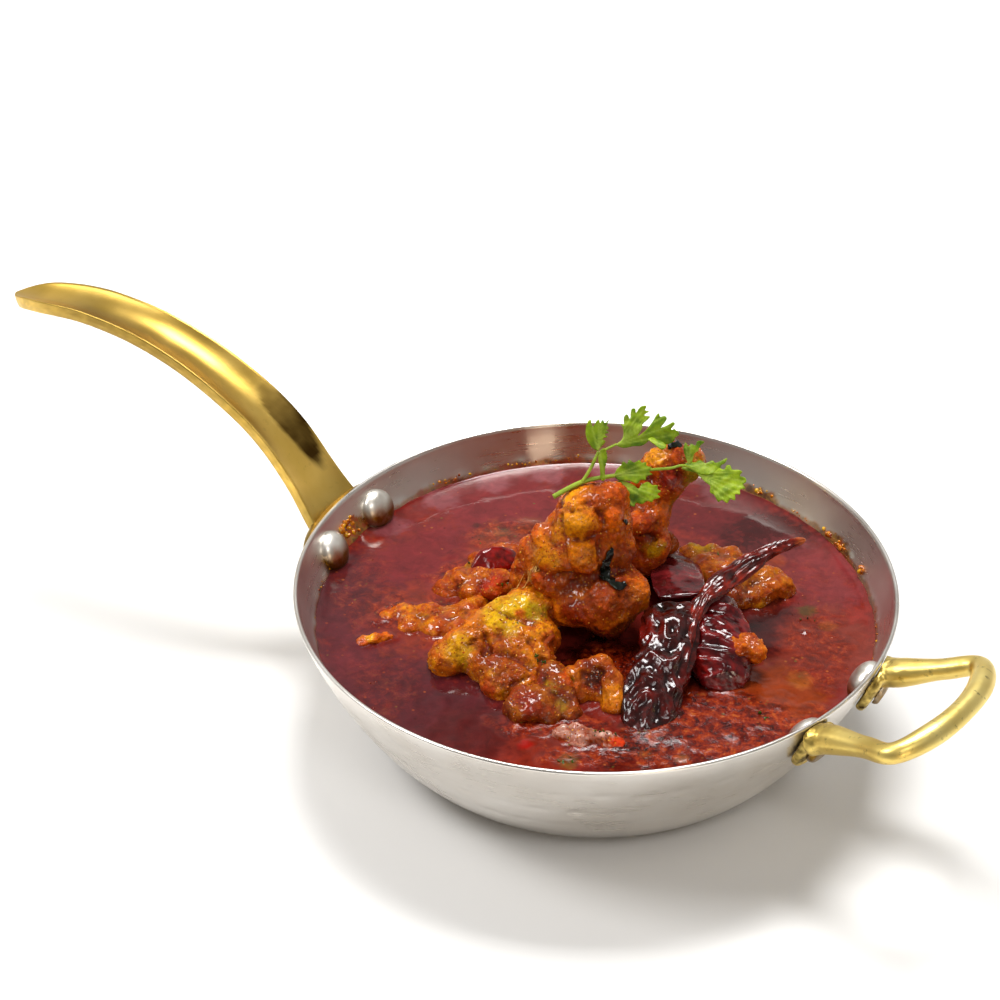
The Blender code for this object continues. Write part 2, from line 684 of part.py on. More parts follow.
def crosses(first, second):
    """Whether two objects' boxes, a gap wider, meet."""
    boxes = []
    for obj in (first, second):
        corners = [obj.matrix_world @ vert.co for vert in obj.data.vertices]
        boxes.append([(min(c[k] for c in corners), max(c[k] for c in corners))
                      for k in range(3)])
    return all(boxes[0][k][0] < boxes[1][k][1] + 2 * GAP
               and boxes[1][k][0] < boxes[0][k][1] + 2 * GAP for k in range(3))


def main():
    for obj in list(bpy.data.objects):
        bpy.data.objects.remove(obj)

    steel = make_material("hammered_steel", (186, 180, 172), 0.32, 1.0)
    rivet_steel = make_material("rivet_steel", (196, 192, 184), 0.2, 1.0)
    brass = make_material("brass", (196, 160, 78), 0.28, 1.0)
    gravy_red = make_material("gravy", (122, 38, 28), 0.1)
    chicken_spice = make_material("spiced_chicken", (178, 96, 34), 0.35)
    masala_red = make_material("masala", (150, 62, 36), 0.35)
    chilli_red = make_material("dried_chilli", (74, 18, 18), 0.25)
    leaf_green = make_material("coriander_leaf", (104, 152, 42), 0.45)

    pan = make_pan(steel)
    long_handle = make_long_handle(brass)
    loop_handle = make_loop_handle(brass)
    envelope = wall_envelope()
    combine(long_handle, [envelope], "DIFFERENCE")
    combine(loop_handle, [envelope], "DIFFERENCE")
    remove([envelope])

    long_azimuths = [HANDLE_AZIMUTH + s * HANDLE_RIVET_SPREAD for s in (-1, 1)]
    loop_azimuths = [LOOP_AZIMUTH + s * LOOP_RIVET_SPREAD for s in (-1, 1)]
    drill([pan, long_handle], long_azimuths, HANDLE_RIVET_HEIGHT)
    drill([pan, loop_handle], loop_azimuths, LOOP_RIVET_HEIGHT)
    rivets = [make_rivet(f"long_handle_rivet_{i + 1}", azimuth, HANDLE_RIVET_HEIGHT,
                         HANDLE_FOOT_THICKNESS, rivet_steel)
              for i, azimuth in enumerate(long_azimuths)]
    rivets += [make_rivet(f"loop_handle_rivet_{i + 1}", azimuth, LOOP_RIVET_HEIGHT,
                          LOOP_FOOT_THICKNESS, rivet_steel)
               for i, azimuth in enumerate(loop_azimuths)]
    cut_round(long_handle, rivets[:2])
    cut_round(loop_handle, rivets[2:])

    chicken = make_chicken(chicken_spice)
    chillies = make_chillies(chilli_red)
    masala = make_masala(masala_red)
    sprig = make_coriander(leaf_green)
    food = chillies[:2] + chicken + chillies[2:] + masala + [sprig]
    bpy.context.view_layer.update()
    for i, piece in enumerate(food):
        near = [other for other in food[:i] if crosses(piece, other)]
        if near:
            cut_round(piece, near)

    gravy = make_gravy(gravy_red)
    bpy.context.view_layer.update()
    cut_round(gravy, [piece for piece in food + rivets if crosses(piece, gravy)])


main()
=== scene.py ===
import math
import random

import bmesh
import bpy
import numpy as np
from mathutils import Matrix, Vector, noise
from mathutils.bvhtree import BVHTree
from mathutils.geometry import delaunay_2d_cdt, interpolate_bezier


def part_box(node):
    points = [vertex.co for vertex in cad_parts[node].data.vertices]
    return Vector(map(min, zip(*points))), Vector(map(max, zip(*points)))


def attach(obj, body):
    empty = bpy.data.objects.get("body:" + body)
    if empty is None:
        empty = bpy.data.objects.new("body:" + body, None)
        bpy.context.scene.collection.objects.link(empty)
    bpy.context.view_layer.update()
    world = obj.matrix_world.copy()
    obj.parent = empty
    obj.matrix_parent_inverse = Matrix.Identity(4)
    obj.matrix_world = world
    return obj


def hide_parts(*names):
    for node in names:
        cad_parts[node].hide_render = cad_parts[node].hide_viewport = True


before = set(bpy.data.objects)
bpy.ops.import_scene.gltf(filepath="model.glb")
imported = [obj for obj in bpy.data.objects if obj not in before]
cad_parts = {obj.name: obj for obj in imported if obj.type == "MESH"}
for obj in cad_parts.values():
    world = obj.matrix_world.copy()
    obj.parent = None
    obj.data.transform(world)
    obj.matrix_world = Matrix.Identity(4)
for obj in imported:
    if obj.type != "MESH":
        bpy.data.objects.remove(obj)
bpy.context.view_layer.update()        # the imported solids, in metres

mm = 0.001
scene = bpy.context.scene
viewAzimuth = 25.5       # the side that the camera stands on, in degrees
platingTurn = math.radians(viewAzimuth)     # the food is laid out square to the camera


# Small tools

def hexColour(text):
    # sRGB hex to linear
    channels = [int(text[i:i + 2], 16) / 255 for i in (1, 3, 5)]
    linear = [c / 12.92 if c < 0.04045 else ((c + 0.055) / 1.055) ** 2.4 for c in channels]
    return (*linear, 1.0)


def mainOutput(node):
    # the first output in use: some nodes have one for each kind of data
    return next(socket for socket in node.outputs if socket.enabled)


def addNode(tree, kind, inputs=None, stops=None, to=None, **settings):
    # inputs: a value, node or socket for each input name or number; stops: places and
    # colours for a colour ramp; to: the socket that the node feeds
    node = tree.nodes.new(kind)
    for key, value in settings.items():
        setattr(node, key, value)
    for key, value in (inputs or {}).items():
        if isinstance(value, bpy.types.Node):
            value = mainOutput(value)
        if isinstance(value, bpy.types.NodeSocket):
            tree.links.new(value, node.inputs[key])
        else:
            node.inputs[key].default_value = value
    if stops:
        elements = node.color_ramp.elements
        while len(elements) < len(stops):
            elements.new(0.5)
        for element, (place, colour) in zip(elements, stops):
            element.position = place
            element.color = hexColour(colour) if isinstance(colour, str) else colour
    if to is not None:
        tree.links.new(mainOutput(node), to)
    return node


def startMaterial(name, **shaderInputs):
    # a Principled material, with _ for each space in its inputs' names; returns it with
    # its tree, shader and Object coordinates
    material = bpy.data.materials.new(name)
    material.use_nodes = True
    tree = material.node_tree
    shader = tree.nodes["Principled BSDF"]
    for key, value in shaderInputs.items():
        shader.inputs[key.replace("_", " ")].default_value = value
    place = addNode(tree, "ShaderNodeTexCoord").outputs["Object"]
    return material, tree, shader, place


def finishMaterial(tree, shader, colour, bump, roughness=None):
    # what every material ends with; bump: its height, strength and depth in mm;
    # roughness: what drives it and from where to where, then the lowest and highest
    tree.links.new(mainOutput(colour), shader.inputs["Base Color"])
    height, strength, depth = bump
    addNode(tree, "ShaderNodeBump", {"Height": height, "Strength": strength,
                                     "Distance": depth * mm}, to=shader.inputs["Normal"])
    if roughness:
        driver, start, end, lowest, highest = roughness
        addNode(tree, "ShaderNodeMapRange", {
            "Value": driver, "From Min": start, "From Max": end,
            "To Min": lowest, "To Max": highest}, to=shader.inputs["Roughness"])


def mottleTint(tree, cloud, darkest, lightest):
    # the colours painted on the mesh, darker and lighter with the cloud
    tint = addNode(tree, "ShaderNodeAttribute", attribute_name="tint")
    shade = addNode(tree, "ShaderNodeMapRange", {
        "Value": cloud, "From Min": 0.3, "From Max": 0.7,
        "To Min": darkest, "To Max": lightest})
    return addNode(tree, "ShaderNodeMix", {0: 1.0, 6: tint, 7: shade},
                   data_type="RGBA", blend_type="MULTIPLY", clamp_result=True)


def laySpecks(tree, place, under, scale, rarity, solid, strength, tones):
    # round specks over the colour under them, in some of a pattern's cells; rarity: the
    # share of cells left bare; solid: how far from its middle a speck starts to fade
    cells = addNode(tree, "ShaderNodeTexVoronoi", {"Vector": place, "Scale": scale})
    keep = addNode(tree, "ShaderNodeSeparateColor", {"Color": cells.outputs["Color"]})
    chosen = addNode(tree, "ShaderNodeMath", {0: keep, 1: rarity}, operation="GREATER_THAN")
    near = addNode(tree, "ShaderNodeMapRange", {
        "Value": cells, "From Min": solid, "From Max": 0.5, "To Min": strength, "To Max": 0.0})
    speck = addNode(tree, "ShaderNodeMath", {0: chosen, 1: near}, operation="MULTIPLY")
    tone = addNode(tree, "ShaderNodeValToRGB", {"Fac": keep.outputs[1]}, stops=tones)
    return addNode(tree, "ShaderNodeMix", {0: speck, 6: under, 7: tone}, data_type="RGBA")


def noiseOver(points, size, octaves=3, seed=0.0):
    # fractal noise, about -1 to 1, with bumps of the given size in metres
    shift = Vector((seed * 7.3, seed * 3.1, seed * 5.7))
    return np.array([noise.fractal(Vector(p) / size + shift, 0.9, 2.0, octaves)
                     for p in points])


def wobble(point, size, octaves=3, seed=0.0):
    return float(noiseOver((point,), size, octaves, seed)[0])


def smoothStep(low, high, value):
    t = min(max((value - low) / (high - low), 0.0), 1.0)
    return t * t * (3 - 2 * t)


def smoothPath(points, steps):
    points = [Vector(point) for point in points]
    path = []
    for i in range(len(points) - 1):
        before = points[max(i - 1, 0)]
        after = points[min(i + 2, len(points) - 1)]
        start, end = points[i], points[i + 1]
        path += interpolate_bezier(start, start + (end - before) / 6,
                                   end - (after - start) / 6, end, steps + 1)[:-1]
    return path + [points[-1]]


def ease(values, t):
    # eases from each value to the next as t goes from 0 to 1
    place = min(max(t, 0.0), 1.0) * (len(values) - 1)
    i = min(int(place), len(values) - 2)
    k = smoothStep(0, 1, place - i)
    return values[i] * (1 - k) + values[i + 1] * k


def heading(path, i):
    # which way the path runs at its point i
    return (path[min(i + 1, len(path) - 1)] - path[max(i - 1, 0)]).normalized()


def circle(count):
    # the angles of a ring's points
    return [2 * math.pi * k / count for k in range(count)]


def meshFrom(name, verts, faces):
    mesh = bpy.data.meshes.new(name)
    mesh.from_pydata([tuple(v) for v in verts], [], faces)
    mesh.validate()
    mesh.update()
    return mesh


def meshArrays(mesh):
    points = np.empty(len(mesh.vertices) * 3)
    normals = np.empty(len(mesh.vertices) * 3)
    mesh.vertices.foreach_get("co", points)
    mesh.vertices.foreach_get("normal", normals)
    return points.reshape(-1, 3), normals.reshape(-1, 3)


def moveVerts(mesh, points):
    mesh.vertices.foreach_set("co", points.ravel())
    mesh.update()


def storeValues(mesh, name, values):
    attribute = mesh.attributes.new(name, "FLOAT", "POINT")
    attribute.data.foreach_set("value", np.asarray(values, dtype=np.float32))


def tidyMesh(mesh, merge=0.0):
    # doubles merged, then faces turned outwards
    bm = bmesh.new()
    bm.from_mesh(mesh)
    if merge:
        bmesh.ops.remove_doubles(bm, verts=bm.verts[:], dist=merge)
    bmesh.ops.recalc_face_normals(bm, faces=bm.faces[:])
    if bm.calc_volume(signed=True) < 0:
        bmesh.ops.reverse_faces(bm, faces=bm.faces[:])
    bm.to_mesh(mesh)
    bm.free()
    mesh.shade_smooth()


def joinMeshes(meshes, target):
    # all attributes are kept; the target may be one of them
    bm = bmesh.new()
    for mesh in meshes:
        bm.from_mesh(mesh)
    bm.to_mesh(target)
    bm.free()


def linkObject(name, data):
    obj = bpy.data.objects.new(name, data)
    scene.collection.objects.link(obj)
    return obj


def addPiece(name, mesh, material):
    obj = linkObject(name, mesh)
    if material:
        mesh.materials.clear()
        mesh.materials.append(material)
    return obj


def finishPiece(obj, slot, *cadNodes):
    # a finished piece rides on the one body and stands for its CAD nodes
    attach(obj, "root")
    if cadNodes:
        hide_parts(*cadNodes)


def bakedMesh(obj):
    # what the object looks like with its modifiers or metaballs worked out
    bpy.context.view_layer.update()
    depsgraph = bpy.context.evaluated_depsgraph_get()
    return bpy.data.meshes.new_from_object(obj.evaluated_get(depsgraph))


def bakeModifiers(obj):
    mesh = bakedMesh(obj)
    obj.modifiers.clear()
    obj.data = mesh


def skinRings(rings):
    # rings of equal length become a tube of quads, closed by a fan at each end
    count = len(rings[0])
    verts = [point for ring in rings for point in ring]
    faces = []
    for a in range(0, (len(rings) - 1) * count, count):
        b = a + count
        for i in range(count):
            j = (i + 1) % count
            faces.append((a + i, a + j, b + j, b + i))
    for r in (0, len(rings) - 1):
        hub = len(verts)
        verts.append(sum(rings[r], Vector()) / count)
        faces += [(hub, r * count + i, r * count + (i + 1) % count) for i in range(count)]
    return verts, faces


def joinParts(parts):
    # several lists of points and faces become one
    verts, faces = [], []
    for partVerts, partFaces in parts:
        base = len(verts)
        verts += partVerts
        faces += [tuple(base + i for i in face) for face in partFaces]
    return verts, faces


def camelName(node):
    first, *rest = node.split("_")
    return first + "".join(word.capitalize() for word in rest)


# The pan's wall: the same curve as in the solids

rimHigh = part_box("pan")[1]
panShape = {
    "rimRadius": rimHigh.x,
    "baseRadius": 60 * mm,
    "height": rimHigh.z,
    "wall": 1.3 * mm,
    "lean": 1.2,
    "knuckle": 1.35,
    "wallFoot": 1.2, "wallTop": 47.6,     # where the hammered part begins and ends, in mm
    "sides": 560,
    "hammerRows": (36.4 * mm, 26.8 * mm, 17.4 * mm),
    "marksInRow": 46,
    "markWidth": 2.6 * mm,
    "markHeight": 1.5 * mm,
    "markDepth": 0.34 * mm,
    # where the gravy splashed: azimuth and spread in degrees, strength
    "splashes": ((180, 5, 2.0), (128, 10, 0.5), (150, 8, 0.6), (76, 7, 0.8), (50, 9, 0.9),
                 (20, 16, 0.35), (-150, 20, 0.2)),
}
gravyLevel = 35 * mm


def wallRadius(z):
    depth = min(max((panShape["height"] - z) / panShape["height"], 0.0), 1.0)
    reach = (1 - depth ** panShape["lean"]) ** (1 / panShape["knuckle"])
    return panShape["baseRadius"] + (panShape["rimRadius"] - panShape["baseRadius"]) * reach


def wallSlope(z):
    step = 0.5 * mm
    return math.atan2(wallRadius(z + step) - wallRadius(z - step), 2 * step)


def wallPoint(z, inset):
    slope = wallSlope(z)
    return wallRadius(z) - inset * math.cos(slope), z + inset * math.sin(slope)


def innerRadius(z):
    # radius of the inner face at height z, by stepping down the inset curve
    guess = z
    for _ in range(4):
        guess -= wallPoint(guess, panShape["wall"])[1] - z
    return wallPoint(guess, panShape["wall"])[0]


hammerDraw = random.Random(5)
hammerBlows = {(row, k): (hammerDraw.uniform(-0.1, 0.1), hammerDraw.uniform(-0.7, 0.7) * mm,
                          hammerDraw.uniform(0.6, 1.1))
               for row in range(len(panShape["hammerRows"]))
               for k in range(panShape["marksInRow"])}


def hammerMark(azimuth, z, radius):
    # how far the sheet is knocked in here, by three rows of staggered marks
    depth = 0.0
    spacing = 2 * math.pi / panShape["marksInRow"]
    for row, height in enumerate(panShape["hammerRows"]):
        shift = 0.5 * (row % 2)
        index = round(azimuth / spacing - shift)
        for k in (index - 1, index, index + 1):
            aside, raised, strength = hammerBlows[row, k % panShape["marksInRow"]]
            centre = (k + shift + aside) * spacing
            lift = height + raised
            away = (azimuth - centre) * radius / panShape["markWidth"]
            up = (z - lift) / panShape["markHeight"]
            depth += strength * math.exp(-away * away - up * up)
    return panShape["markDepth"] * depth


print("materials")


# Stainless steel sheet, spun and then hammered: satin, with faint rings from the
# spinning chuck and hand polish that runs round the wall.
def makeHammeredSteel():
    material, tree, shader, place = startMaterial("hammeredSteel", Metallic=1.0, Roughness=0.3)
    rings = addNode(tree, "ShaderNodeMapping", {"Vector": place, "Scale": (60, 60, 900)})
    scratch = addNode(tree, "ShaderNodeTexNoise", {"Vector": rings, "Scale": 1.0, "Detail": 3.0})
    cloud = addNode(tree, "ShaderNodeTexNoise", {"Vector": place, "Scale": 45.0, "Detail": 3.0})
    tone = addNode(tree, "ShaderNodeValToRGB", {"Fac": cloud},
                   stops=[(0.3, "#d8d1c8"), (0.7, "#e6e2dc")])
    # painted shade: the colour darkens towards the foot of the wall, where the wall mirrors the
    # shaded floor
    height = addNode(tree, "ShaderNodeSeparateXYZ", {0: place}).outputs["Z"]
    foot = addNode(tree, "ShaderNodeMapRange", {
        "Value": height, "From Min": 3 * mm, "From Max": 13 * mm, "To Min": 0.6, "To Max": 0.0})
    footShaded = addNode(tree, "ShaderNodeMix", {0: foot, 6: tone, 7: hexColour("#86807a")},
                     data_type="RGBA")
    residue = addNode(tree, "ShaderNodeAttribute", attribute_name="residue").outputs["Fac"]
    crumbs = addNode(tree, "ShaderNodeTexNoise", {"Vector": place, "Scale": 480.0, "Detail": 4.0})
    dried = addNode(tree, "ShaderNodeValToRGB", {"Fac": crumbs},
                    stops=[(0.36, "#7a4410"), (0.5, "#c08a24"), (0.62, "#c45a14")])
    stained = addNode(tree, "ShaderNodeMix", {0: residue, 6: footShaded, 7: dried},
                      data_type="RGBA")
    mixed = addNode(tree, "ShaderNodeMath", {0: scratch, 1: cloud}, operation="ADD")
    finishMaterial(tree, shader, stained, (scratch, 0.02, 0.01), (mixed, 0.7, 1.3, 0.25, 0.37))
    return material


# Polished stainless steel rivet, upset in a die
def makeRivetSteel():
    material, tree, shader, place = startMaterial(
        "polishedRivetSteel", Metallic=1.0, Roughness=0.16)
    cloud = addNode(tree, "ShaderNodeTexNoise", {"Vector": place, "Scale": 260.0, "Detail": 4.0})
    tone = addNode(tree, "ShaderNodeValToRGB", {"Fac": cloud},
                   stops=[(0.35, "#e8e0d4"), (0.65, "#f6f2ea")])
    # curry oil dried on the lower half of the head, together with a painted warm reflection of the
    # gravy and brass below it
    height = addNode(tree, "ShaderNodeSeparateXYZ", {0: place}).outputs["Z"]
    lower = addNode(tree, "ShaderNodeMapRange", {
        "Value": height, "From Min": 39 * mm, "From Max": 43 * mm, "To Min": 1.0, "To Max": 0.0})
    patchy = addNode(tree, "ShaderNodeMapRange", {
        "Value": cloud, "From Min": 0.3, "From Max": 0.7, "To Min": 0.7, "To Max": 1.2})
    oiled = addNode(tree, "ShaderNodeMath", {0: lower, 1: patchy},
                    operation="MULTIPLY", use_clamp=True)
    stained = addNode(tree, "ShaderNodeMix", {0: oiled, 6: tone, 7: hexColour("#80601e")},
                      data_type="RGBA")
    finishMaterial(tree, shader, stained, (cloud, 0.15, 0.04), (cloud, 0.3, 0.7, 0.32, 0.42))
    return material


# Sand-cast yellow brass, ground on a belt and polished: satin gold with a few pits, painted light
# and shade along its length, and darker brown where the attribute says: soot, painted shade and a
# painted dark reflection
def makeBrass(name, pits, roughLow, tones):
    material, tree, shader, place = startMaterial(name, Metallic=1.0, Roughness=0.28)
    cloud = addNode(tree, "ShaderNodeTexNoise", {"Vector": place, "Scale": 55.0, "Detail": 3.0})
    grain = addNode(tree, "ShaderNodeTexNoise", {"Vector": place, "Scale": 1100.0, "Detail": 2.0})
    tone = addNode(tree, "ShaderNodeValToRGB", {"Fac": cloud},
                   stops=list(zip((0.3, 0.52, 0.75), tones)))
    # painted light and shade along the handle: brighter where highlights fall at its tip and near
    # its root, darker along the grip and on its foot, which lies in shade, and a little brighter
    # over the loop handle
    along = addNode(tree, "ShaderNodeSeparateXYZ", {0: place}).outputs["X"]
    share = addNode(tree, "ShaderNodeMapRange", {
        "Value": along, "From Min": -210 * mm, "From Max": 90 * mm})
    paintedLightAlong = addNode(tree, "ShaderNodeValToRGB", {"Fac": share}, stops=[
        (stop, (k, k, k, 1)) for stop, k in ((0.04, 1.1), (0.1, 0.62), (0.22, 0.6), (0.32, 1),
                                             (0.37, 1.2), (0.4, 0.5), (0.9, 1.08))])
    tonedWithPaintedLight = addNode(tree, "ShaderNodeMix", {0: 1.0, 6: tone, 7: paintedLightAlong},
                     data_type="RGBA", blend_type="MULTIPLY")
    stain = addNode(tree, "ShaderNodeTexNoise",
                    {"Vector": place, "Scale": 420.0, "Detail": 3.0, "Roughness": 0.65})
    spots = addNode(tree, "ShaderNodeMapRange", {
        "Value": stain, "From Min": 0.6, "From Max": 0.72, "To Min": 0.0, "To Max": pits})
    # pits and, where the attribute says, soot, painted shade and a painted dark reflection, all in
    # dark brown
    tarnishAndPaintedShade = addNode(tree, "ShaderNodeAttribute", attribute_name="tarnishAndPaintedShade").outputs["Fac"]
    dull = addNode(tree, "ShaderNodeMath", {0: spots, 1: tarnishAndPaintedShade}, operation="MAXIMUM")
    mixed = addNode(tree, "ShaderNodeMix", {0: dull, 6: tonedWithPaintedLight, 7: hexColour("#3c2608")},
                    data_type="RGBA")
    rough = addNode(tree, "ShaderNodeMapRange", {
        "Value": cloud, "From Min": 0.3, "From Max": 0.7,
        "To Min": roughLow, "To Max": roughLow + 0.08})
    addNode(tree, "ShaderNodeMath", {0: tarnishAndPaintedShade, 1: 0.12, 2: rough},
            operation="MULTIPLY_ADD", to=shader.inputs["Roughness"])
    both = addNode(tree, "ShaderNodeMath", {0: grain, 1: stain}, operation="ADD")
    finishMaterial(tree, shader, mixed, (both, 0.3, 0.05))
    return material


# Thin curry gravy: ground chilli and onion under a film of clear red oil, so it mirrors
# the room softly over a dark red, slightly cloudy body.
def makeGravyMaterial():
    material, tree, shader, place = startMaterial("oilyGravy", Roughness=0.08, IOR=1.42)
    thick = addNode(tree, "ShaderNodeAttribute", attribute_name="thick").outputs["Fac"]
    cloud = addNode(tree, "ShaderNodeTexNoise", {
        "Vector": place, "Scale": 190.0, "Detail": 6.0, "Roughness": 0.65, "Distortion": 0.6})
    toned = mottleTint(tree, cloud, 0.72, 1.3)
    # where it is thick, ground onion and chilli lie just under the oil
    grounds = addNode(tree, "ShaderNodeTexNoise", {
        "Vector": place, "Scale": 380.0, "Detail": 5.0, "Roughness": 0.72, "Distortion": 0.4})
    groundTone = addNode(tree, "ShaderNodeValToRGB", {"Fac": grounds}, stops=[
        (0.38, "#220301"), (0.48, "#601002"), (0.6, "#9c3206"), (0.72, "#bc6a28")])
    much = addNode(tree, "ShaderNodeMath", {0: thick, 1: 0.74}, operation="MULTIPLY")
    grainy = addNode(tree, "ShaderNodeMix", {0: much, 6: toned, 7: groundTone},
                     data_type="RGBA")
    # loose specks of 1.2 mm
    often = addNode(tree, "ShaderNodeMapRange", {
        "Value": thick, "From Min": 0.0, "From Max": 1.0, "To Min": 0.985, "To Max": 0.8})
    mixed = laySpecks(tree, place, grainy, 800.0, often, 0.12, 0.6, [
        (0.2, "#380a08"), (0.45, "#8c2c10"), (0.8, "#b05a24"), (0.95, "#4c5420")])
    raised = addNode(tree, "ShaderNodeMath", {0: grounds, 1: thick}, operation="MULTIPLY")
    finishMaterial(tree, shader, mixed, (raised, 0.5, 0.45), (thick, 0.0, 1.0, 0.06, 0.13))
    return material


hammeredSteel = makeHammeredSteel()
rivetSteel = makeRivetSteel()
handleBrass = makeBrass("buffedBrass", 0.12, 0.3, ("#dab250", "#e3bc5e", "#edca6e"))
loopBrass = makeBrass("castBrass", 0.55, 0.34, ("#d6b65c", "#e6cb74", "#f4e092"))
oilyGravy = makeGravyMaterial()


print("pan")

def makePan():
    foot, top = panShape["wallFoot"], panShape["wallTop"]
    heights = [foot * mm + (top - foot) * mm * (i / 76) ** 1.1 for i in range(77)]
    inner = [1.6 * mm, 8 * mm, 16 * mm, 24 * mm, 30 * mm]
    inner += [(33 + 14.4 * i / 34) * mm for i in range(35)]
    wall = panShape["wall"]
    profile = [(r * mm, 0.0, 0) for r in (0.5, 20, 40, 52, 57, 59)]
    profile += [(60.2 * mm, 0.12 * mm, 0), (61 * mm, 0.5 * mm, 0)]
    profile += [(*wallPoint(z, 0), 1) for z in heights]
    middle = panShape["rimRadius"] - wall / 2
    for i in range(9):       # the rolled rim: a half circle over the sheet's edge
        a = math.pi * i / 8
        profile.append((middle + wall / 2 * math.cos(a) - 0.1 * mm,
                        panShape["height"] - wall / 2 + wall / 2 * math.sin(a), 0))
    profile += [(*wallPoint(z, wall), 1) for z in reversed(inner)]
    profile += [(r * mm, wall, 0) for r in (58, 54, 40, 20, 0.5)]
    rings = []
    for radius, z, hammered in profile:
        ring = []
        slope = wallSlope(min(z, 48 * mm)) if hammered else 0.0
        for a in circle(panShape["sides"]):
            push = 0.0
            if hammered:
                spot = (math.cos(a) * radius, math.sin(a) * radius, z)
                push = hammerMark(a, z, radius) + wobble(spot, 22 * mm, 2, 4) * 0.05 * mm
            r = radius - push * math.cos(slope)
            ring.append(Vector((r * math.cos(a), r * math.sin(a), z + push * math.sin(slope))))
        rings.append(ring)
    mesh = meshFrom("servingPan", *skinRings(rings))
    tidyMesh(mesh)
    # gravy dried on the inside above its level, in patches: thickest just over the gravy
    points, normals = meshArrays(mesh)
    inside = (points[:, 0] * normals[:, 0] + points[:, 1] * normals[:, 1]) < 0
    above = (points[:, 2] - gravyLevel) / mm
    patches = noiseOver(points, 9 * mm, 3, 31) + 0.6 * noiseOver(points, 2.2 * mm, 2, 32)
    turn = np.degrees(np.arctan2(points[:, 1], points[:, 0]))
    splashed = sum(np.exp(-(((turn - middle + 180) % 360 - 180) / spread) ** 2) * weight
                   for middle, spread, weight in panShape["splashes"])
    film = np.clip((1.9 + 2.2 * splashed - above) / 0.9
                   + patches * (0.8 + 1.6 * splashed), 0, 1)
    storeValues(mesh, "residue", np.where(inside & (above > -2), film * np.clip(
        0.5 + 0.5 * splashed, 0, 0.9), 0))
    return addPiece("servingPan", mesh, hammeredSteel)


finishPiece(makePan(), "hammered_steel", "pan")


print("handles and rivets")

longHandle = {
    # x and z of the line along the middle of the upper face, from root to tip
    "spine": ((-86, 38.5), (-92, 47), (-108.3, 69.1), (-127.6, 83.3), (-150.9, 93.4),
              (-175.7, 97.6), (-198, 96.2), (-210.5, 92.8)),
    "rootWidth": 21.8, "endWidth": 15.2,
    "edge": 3.6, "belly": 2.4, "dish": 3.0,
    "bevel": 0.45 * mm, "ridge": 0.22 * mm,
    "rounding": 0.84,        # where the tip starts to round off
    "azimuth": 180,
    # height, half width, half height and thickness of its foot
    "foot": (39.4 * mm, 24.5 * mm, 7.8 * mm, 4.4),
    # its two rivets: degrees to each side, height, and how far out they reach
    "rivetSpread": 9, "rivetHeight": 38.4, "rivetReach": 4.4,
}


def makeWallPad(azimuth, height, halfWidth, halfHeight, thickness, sides=64):
    # a rounded plate that follows the wall's outer face, a small gap off it; the thickness
    # is in mm, the other sizes in metres
    gap, squareness = 0.3, 0.62

    def ring(inset, shrink, share=1.0):
        spots = []
        for a in circle(sides):
            across, up = (math.copysign(abs(c) ** squareness, c)
                          for c in (math.cos(a), math.sin(a)))
            radius, z = wallPoint(height + up * halfHeight * shrink * share, inset * mm)
            turn = math.radians(azimuth) + across * halfWidth * shrink * share / radius
            spots.append(Vector((radius * math.cos(turn), radius * math.sin(turn), z)))
        return spots

    layers = [(-thickness * depth - gap, shrink) for depth, shrink in
              ((0, 0.94), (0.35, 1.0), (0.7, 0.98), (0.92, 0.9), (1, 0.76))]
    # shrinking rings finish each face, so that it follows the wall
    shares = (0.66, 0.33, 0.04)
    rings = [ring(*layers[0], share) for share in reversed(shares)]
    rings += [ring(*layer) for layer in layers]
    rings += [ring(*layers[-1], share) for share in shares]
    mesh = meshFrom("pad", *skinRings(rings))
    tidyMesh(mesh)
    return mesh


def joinSolids(obj, meshes):
    tools = []
    for mesh in meshes:
        tool = linkObject("tool", mesh)
        modifier = obj.modifiers.new("join", "BOOLEAN")
        modifier.operation = "UNION"
        modifier.solver = "EXACT"
        modifier.object = tool
        tools.append(tool)
    bakeModifiers(obj)
    for tool in tools:
        bpy.data.objects.remove(tool)


